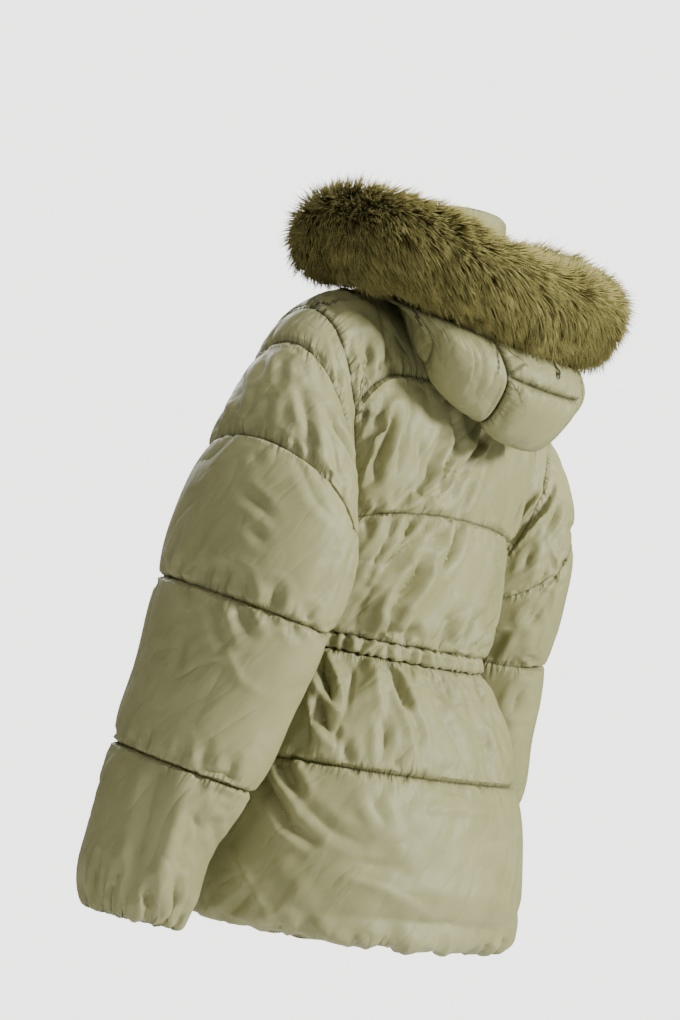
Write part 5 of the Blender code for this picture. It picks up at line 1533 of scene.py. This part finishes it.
def fur_ground():
    """The fur's ground: a closed roll under the pile, and the way its strands are combed."""
    even_places = np.linspace(-1, 1, FUR_LONG + 1)
    places = 0.35 * np.sin(even_places * math.pi / 2) + 0.65 * even_places
    centre, out, up = fur_frame(places)
    ahead = unit(np.gradient(centre, axis=0))
    a = np.arange(FUR_AROUND) * 2 * math.pi / FUR_AROUND
    radius = fur_radius(places) - PILE_DEPTH
    lump = (1 + 0.05 * np.sin(3 * a[None] + 5.0 * places[:, None])
            + 0.04 * np.sin(23 * places[:, None] + 2 * np.sin(a[None])))
    round_end = np.sqrt(np.clip(1 - ((np.abs(places) - 0.97) / 0.0301).clip(0, 1)**2, 0.02, 1))
    spoke = np.cos(a)[None, :, None] * out[:, None] + np.sin(a)[None, :, None] * up[:, None]
    skin = centre[:, None] + spoke * (radius * round_end)[:, None, None] * lump[..., None]
    towards_back = -ahead * (np.sign(places) * ease(np.abs(places) / 0.35))[:, None]
    comb = COMB_DOWN * np.array([0.0, 0.0, -1.0]) + COMB_BACK * towards_back[:, None] + 0 * spoke
    comb = comb - spoke * (comb * spoke).sum(-1, keepdims=True)
    rows, cols = skin.shape[:2]
    faces = [tuple(face) for face in grid_faces(numbered(rows, cols, True)).tolist()]
    for tip, first in ((rows * cols, 0), (rows * cols + 1, (rows - 1) * cols)):
        faces += [(first + j, first + (j + 1) % cols, tip) for j in range(cols)]
    verts = np.concatenate([skin.reshape(-1, 3), centre[:1], centre[-1:]])
    combs = np.concatenate([comb.reshape(-1, 3), np.zeros((2, 3))])
    share = np.concatenate([np.repeat(places, cols), [-1.0, 1.0]])
    return verts, faces, combs, share


def strand_seed():
    """One pile strand: a closed tapered three-sided fibre that bends over towards +X."""
    verts, share = [], []
    for height, bend, radius in ((0.0, 0.0, 0.42), (0.52, 0.07, 0.50)):
        for a in (0.0, 2 * math.pi / 3, 4 * math.pi / 3):
            verts.append((bend * STRAND_LONG + radius * STRAND_WIDE * math.cos(a),
                          radius * STRAND_WIDE * math.sin(a), height * STRAND_LONG))
            share.append(height)
    verts.append((TIP_BEND * STRAND_LONG, 0.0, STRAND_LONG))
    faces = [(0, 1, 4, 3), (1, 2, 5, 4), (2, 0, 3, 5), (3, 4, 6), (4, 5, 6), (5, 3, 6), (2, 1, 0)]
    obj = add_object("strand_seed", verts, faces)
    obj.data.shade_smooth()
    store(obj, "along", "FLOAT", np.array([*share, 1.0]))
    return obj


def strand_tree(strand, material):
    """Node group: strands on a skin, combed, gathered into locks, uneven in length and tone."""
    tree, skin, end = new_group("pile_strands")
    density = STRANDS_PER_M2 * 1.0
    scatter = add_node(tree, "GeometryNodeDistributePointsOnFaces",
                       {"Mesh": skin, "Density": density, "Seed": 3})
    place = add_node(tree, "GeometryNodeInputPosition").outputs["Position"]
    comb = named_vector(tree, "comb")
    lock = add_node(tree, "ShaderNodeTexVoronoi", {"Vector": place, "Scale": 1 / LOCK_SIZE}).outputs
    towards = vectors(tree, "SUBTRACT", lock["Position"], place)
    swirl = add_node(tree, NOISE, {"Vector": place, "Scale": SWIRLS, "Detail": 2.0})
    centred = vectors(tree, "SUBTRACT", swirl.outputs["Color"], (0.5, 0.5, 0.5))
    loose = add_node(tree, "FunctionNodeRandomValue",
                     {0: (-1.0, -1.0, -1.0), 1: (1.0, 1.0, 1.0), "Seed": 5}, data_type="FLOAT_VECTOR")
    way = vectors(tree, "ADD", scatter.outputs["Normal"], comb)
    for part, pull in ((towards, GATHER), (centred, SWAY), (loose.outputs[0], STRAY)):
        way = vectors(tree, "ADD", way, vectors(tree, "SCALE", part, Scale=pull))
    by_lock = add_node(tree, "ShaderNodeSeparateXYZ", {0: lock["Color"]}).outputs
    by_strand = add_node(tree, "FunctionNodeRandomValue", {2: 0.80, 3: 1.12, "Seed": 9})
    long_lock = add_node(tree, "ShaderNodeMapRange",
                         {"Value": by_lock["X"], "To Min": 0.80, "To Max": 1.10})
    size = maths(tree, "MULTIPLY", by_strand.outputs[1], long_lock.outputs[0])
    hair = copies_on(tree, scatter.outputs["Points"], strand, way, comb, size)
    own = add_node(tree, "FunctionNodeRandomValue", {2: 0.0, 3: 0.5, "Seed": 13})
    tone = maths(tree, "MULTIPLY_ADD", by_lock["Y"], 0.5, own.outputs[1])
    kept = add_node(tree, "GeometryNodeStoreNamedAttribute",
                    {"Geometry": hair, "Name": "tone", "Value": tone},
                    data_type="FLOAT", domain="INSTANCE")
    return finish_group(tree, end, kept.outputs[0], material)


FUR_PARTS = (("left", 0.30, 1.01), ("back", -0.30, 0.30), ("right", -1.01, -0.30))


def make_fur(ground_look, pile_look):
    """The fur: a dark ground roll and three arcs of pile on it."""
    verts, faces, comb, share = fur_ground()
    ground = add_object("fur_ground", verts, faces)
    face_out(ground)
    ground.data.materials.append(ground_look)
    pieces = [ground]
    strand = strand_seed()
    tree = strand_tree(strand, pile_look)
    for label, low, high in FUR_PARTS:
        chosen = [f for f in faces if low <= share[f[0]] < high]
        seat = add_object("fur_seat_" + label, verts, chosen)
        store(seat, "comb", "FLOAT_VECTOR", comb)
        pieces.append(grown(seat, tree, "fur_pile_" + label, pile_look))
    bpy.data.objects.remove(strand, do_unlink=True)
    return pieces


# ---------------- stitches and zip teeth
def placed_tree(name, seed, material):
    """Node group: one copy of a seed on every point, turned by the point's own directions."""
    tree, seat, end = new_group(name)
    dots = add_node(tree, "GeometryNodeMeshToPoints", {"Mesh": seat})
    copies = copies_on(tree, dots.outputs[0], seed, named_vector(tree, "up"), named_vector(tree, "run"))
    return finish_group(tree, end, copies, material)


def copies_at(name, seed, places, run, up, material):
    """One object with a copy of the seed at each place; the seed is removed."""
    seat = add_object(name + "_seat", places, [])
    store(seat, "run", "FLOAT_VECTOR", run)
    store(seat, "up", "FLOAT_VECTOR", up)
    obj = grown(seat, placed_tree(name + "_copies", seed, material), name, material)
    bpy.data.objects.remove(seed, do_unlink=True)
    return obj


STITCH_PITCH, STITCH_LONG, STITCH_THICK = 0.0036, 0.0026, 0.0006


def stitch_seed():
    """One stitch: a short thread that dips into the cloth at both ends."""
    half, thick = STITCH_LONG / 2, STITCH_THICK / 2
    verts = [(-half, 0, -thick), (half, 0, -thick), (0, -thick, 0), (0, thick, 0), (0, 0, thick * 1.3),
             (0, 0, -thick)]
    faces = [(0, 2, 4), (0, 4, 3), (0, 3, 5), (0, 5, 2), (1, 4, 2), (1, 3, 4), (1, 5, 3), (1, 2, 5)]
    return add_object("stitch_seed", verts, faces)


def stitches_along(line, n, ring):
    """Places and directions of the stitches along a line of points with normals."""
    if ring:
        line, n = np.concatenate([line, line[:1]]), np.concatenate([n, n[:1]])
    far = walk(line)
    at = np.arange(STITCH_PITCH, far[-1] - STITCH_PITCH / 2, STITCH_PITCH)
    place = read_at(at, far, line)
    up = unit(read_at(at, far, n))
    ahead = read_at(at + 0.001, far, line) - place
    return place + up * STITCH_THICK * 0.4, unit(ahead), up


def make_stitches(panels, look):
    """Lockstitches along every sewing line of the panels."""
    rows = []
    for panel in panels:
        n = grid_normals(panel.fine, panel.ring, finer(panel.n, panel.ring))
        for number in panel.sewn_rows[1:-1]:
            rows.append(stitches_along(panel.fine[2 * number], n[2 * number], panel.ring))
        for number in panel.sewn_columns:
            rows.append(stitches_along(panel.fine[:, 2 * number], n[:, 2 * number], False))
    places, run, up = (np.concatenate(part) for part in zip(*rows))
    return copies_at("quilting_stitches", stitch_seed(), places, run, up, look)


TOOTH_PITCH, TOOTH_WIDE, TOOTH_TALL, TOOTH_THICK = 0.0026, 0.0034, 0.0013, 0.0020
TOOTH_SIDE, TOOTH_LOOK = 0.00125, 0.004        # off the middle, and how far the line is read ahead


def tooth_seed():
    """One moulded zip tooth, chamfered on its face."""
    w, h, d = TOOTH_WIDE / 2, TOOTH_TALL / 2, TOOTH_THICK / 2
    corners = ((-1, -1), (1, -1), (1, 1), (-1, 1))
    verts = [(sx * w, sy * h, -d) for sx, sy in corners]
    verts += [(sx * w * 0.86, sy * h * 0.7, d) for sx, sy in corners]
    faces = [(3, 2, 1, 0), (4, 5, 6, 7)] + [(k, (k + 1) % 4, (k + 1) % 4 + 4, k + 4) for k in range(4)]
    return add_object("tooth_seed", verts, faces)


def chain_line():
    """The middle line of the closed zip, read from the CAD chain's own corners."""
    corners = np.array([v.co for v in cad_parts["zip_chain"].data.vertices])
    flat = np.unique(np.round(corners[:, 1:], 5), axis=0)
    far = np.linalg.norm(flat[:, None] - flat[None], axis=-1)
    np.fill_diagonal(far, 1.0)
    partner = far.argmin(1)
    middle = np.unique(np.round((flat + flat[partner]) / 2, 5), axis=0)
    middle = middle[np.argsort(-middle[:, 1])]
    return np.column_stack([np.zeros(len(middle)), middle])


def make_teeth(look):
    """Two rows of meshed teeth along the closed zip."""
    line = chain_line()
    far = walk(line)
    at = np.arange(TOOTH_PITCH / 2, far[-1] - TOOTH_PITCH / 2, TOOTH_PITCH / 2)
    place = read_at(at, far, line)
    ahead = unit(read_at(at + TOOTH_LOOK, far, line) - read_at(at - TOOTH_LOOK, far, line))
    place[:, 0] = np.where(np.arange(len(at)) % 2, TOOTH_SIDE, -TOOTH_SIDE)
    up = unit(np.cross(ahead, np.array([1.0, 0.0, 0.0])))
    up = up * np.where(up[:, 1:2] < 0, 1.0, -1.0)
    run = np.zeros_like(place)
    run[:, 0] = 1.0
    return copies_at("zip_teeth", tooth_seed(), place, run, up, look)


# ---------------- hood cord
CORD_THICK = 0.0024
CORD_ROUTE = [                 # from the eyelet's middle towards the fur, and off the cloth
    (0.0000, 0.0014),
    (0.0012, 0.0030),
    (0.0044, 0.0033),
    (0.0078, 0.0023),
    (0.0110, 0.0013),
    (0.0150, 0.0012),
    (0.0330, 0.0012),
]


CORD_POINTS = 40
CORD_AIM = (0.009, 0.013)      # it runs on straight from its way between these distances


def make_cord(look):
    """The hood's drawcord: it leaves the eyelet, turns along the cloth and runs in under the pile."""
    tab = table("out lift", CORD_ROUTE)
    out = np.linspace(0.0, tab["out"][-1], CORD_POINTS)
    t = EYELET_T + out / HOOD_T_LENGTH
    s = np.full_like(out, EYELET_S)
    inside = np.minimum(t, 0.999)
    n = normals(hood, s, inside, -1, HOOD_EVEN)
    base = hood(s, inside) + n * hood_padding(s, inside, -GUSSET_S, GUSSET_S)[:, None]
    ahead = unit(base[out <= CORD_AIM[1]][-1] - base[out <= CORD_AIM[0]][-1])
    path = base + ahead * ((t - inside) * HOOD_T_LENGTH)[:, None] + n * along(tab, "lift", out)[:, None]
    curve = bpy.data.curves.new("hood_drawcord", "CURVE")
    curve.dimensions = "3D"
    curve.bevel_depth = CORD_THICK / 2
    curve.bevel_resolution = 3
    curve.use_fill_caps = True
    spline = curve.splines.new("POLY")
    spline.points.add(len(path) - 1)
    for point, place in zip(spline.points, path):
        point.co = (*place, 1.0)
    obj = linked("hood_drawcord", curve)
    curve.materials.append(look)
    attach(obj, BODY)
    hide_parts("hood_cord")
    return obj


# ---------------- the parka
def stand_for(obj, node):
    """The piece rides on the parka in place of a CAD node, which is hidden."""
    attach(obj, BODY)
    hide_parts(node)


def dress_node(name, look):
    """A CAD node whose shape is right stays, with its real material."""
    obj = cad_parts[name]
    obj.data.materials.clear()
    obj.data.materials.append(look)


def main():
    rng = np.random.default_rng(11)
    make_camera()
    make_cord(thread("braided_elastic_cord", "#3B3920", "#565334"))
    make_studio()
    shell = nylon_taffeta()
    panels = all_panels()
    for panel in panels:
        place_folds(panel)
    blow_up(panels)
    for panel in panels:
        obj = finish_panel(panel, rng, shell)
        stand_for(obj, panel.name.removesuffix("_quilted"))
    ruched = make_casing(rng, shell)
    stand_for(ruched, "waist_casing")
    for obj in make_fur(backing_cloth(), fur_pile()):
        stand_for(obj, "fur_trim")
    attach(make_stitches(panels, thread("polyester_thread", "#88845F", "#A29E78")), BODY)
    metal = plated_zinc()
    stand_for(make_teeth(metal), "zip_chain")
    tape = woven_tape()
    for name in ("zip_tape_left", "zip_tape_right"):
        dress_node(name, tape)
    for name in ("zip_slider", "zip_pull_tab", "hood_eyelet"):
        dress_node(name, metal)


main()
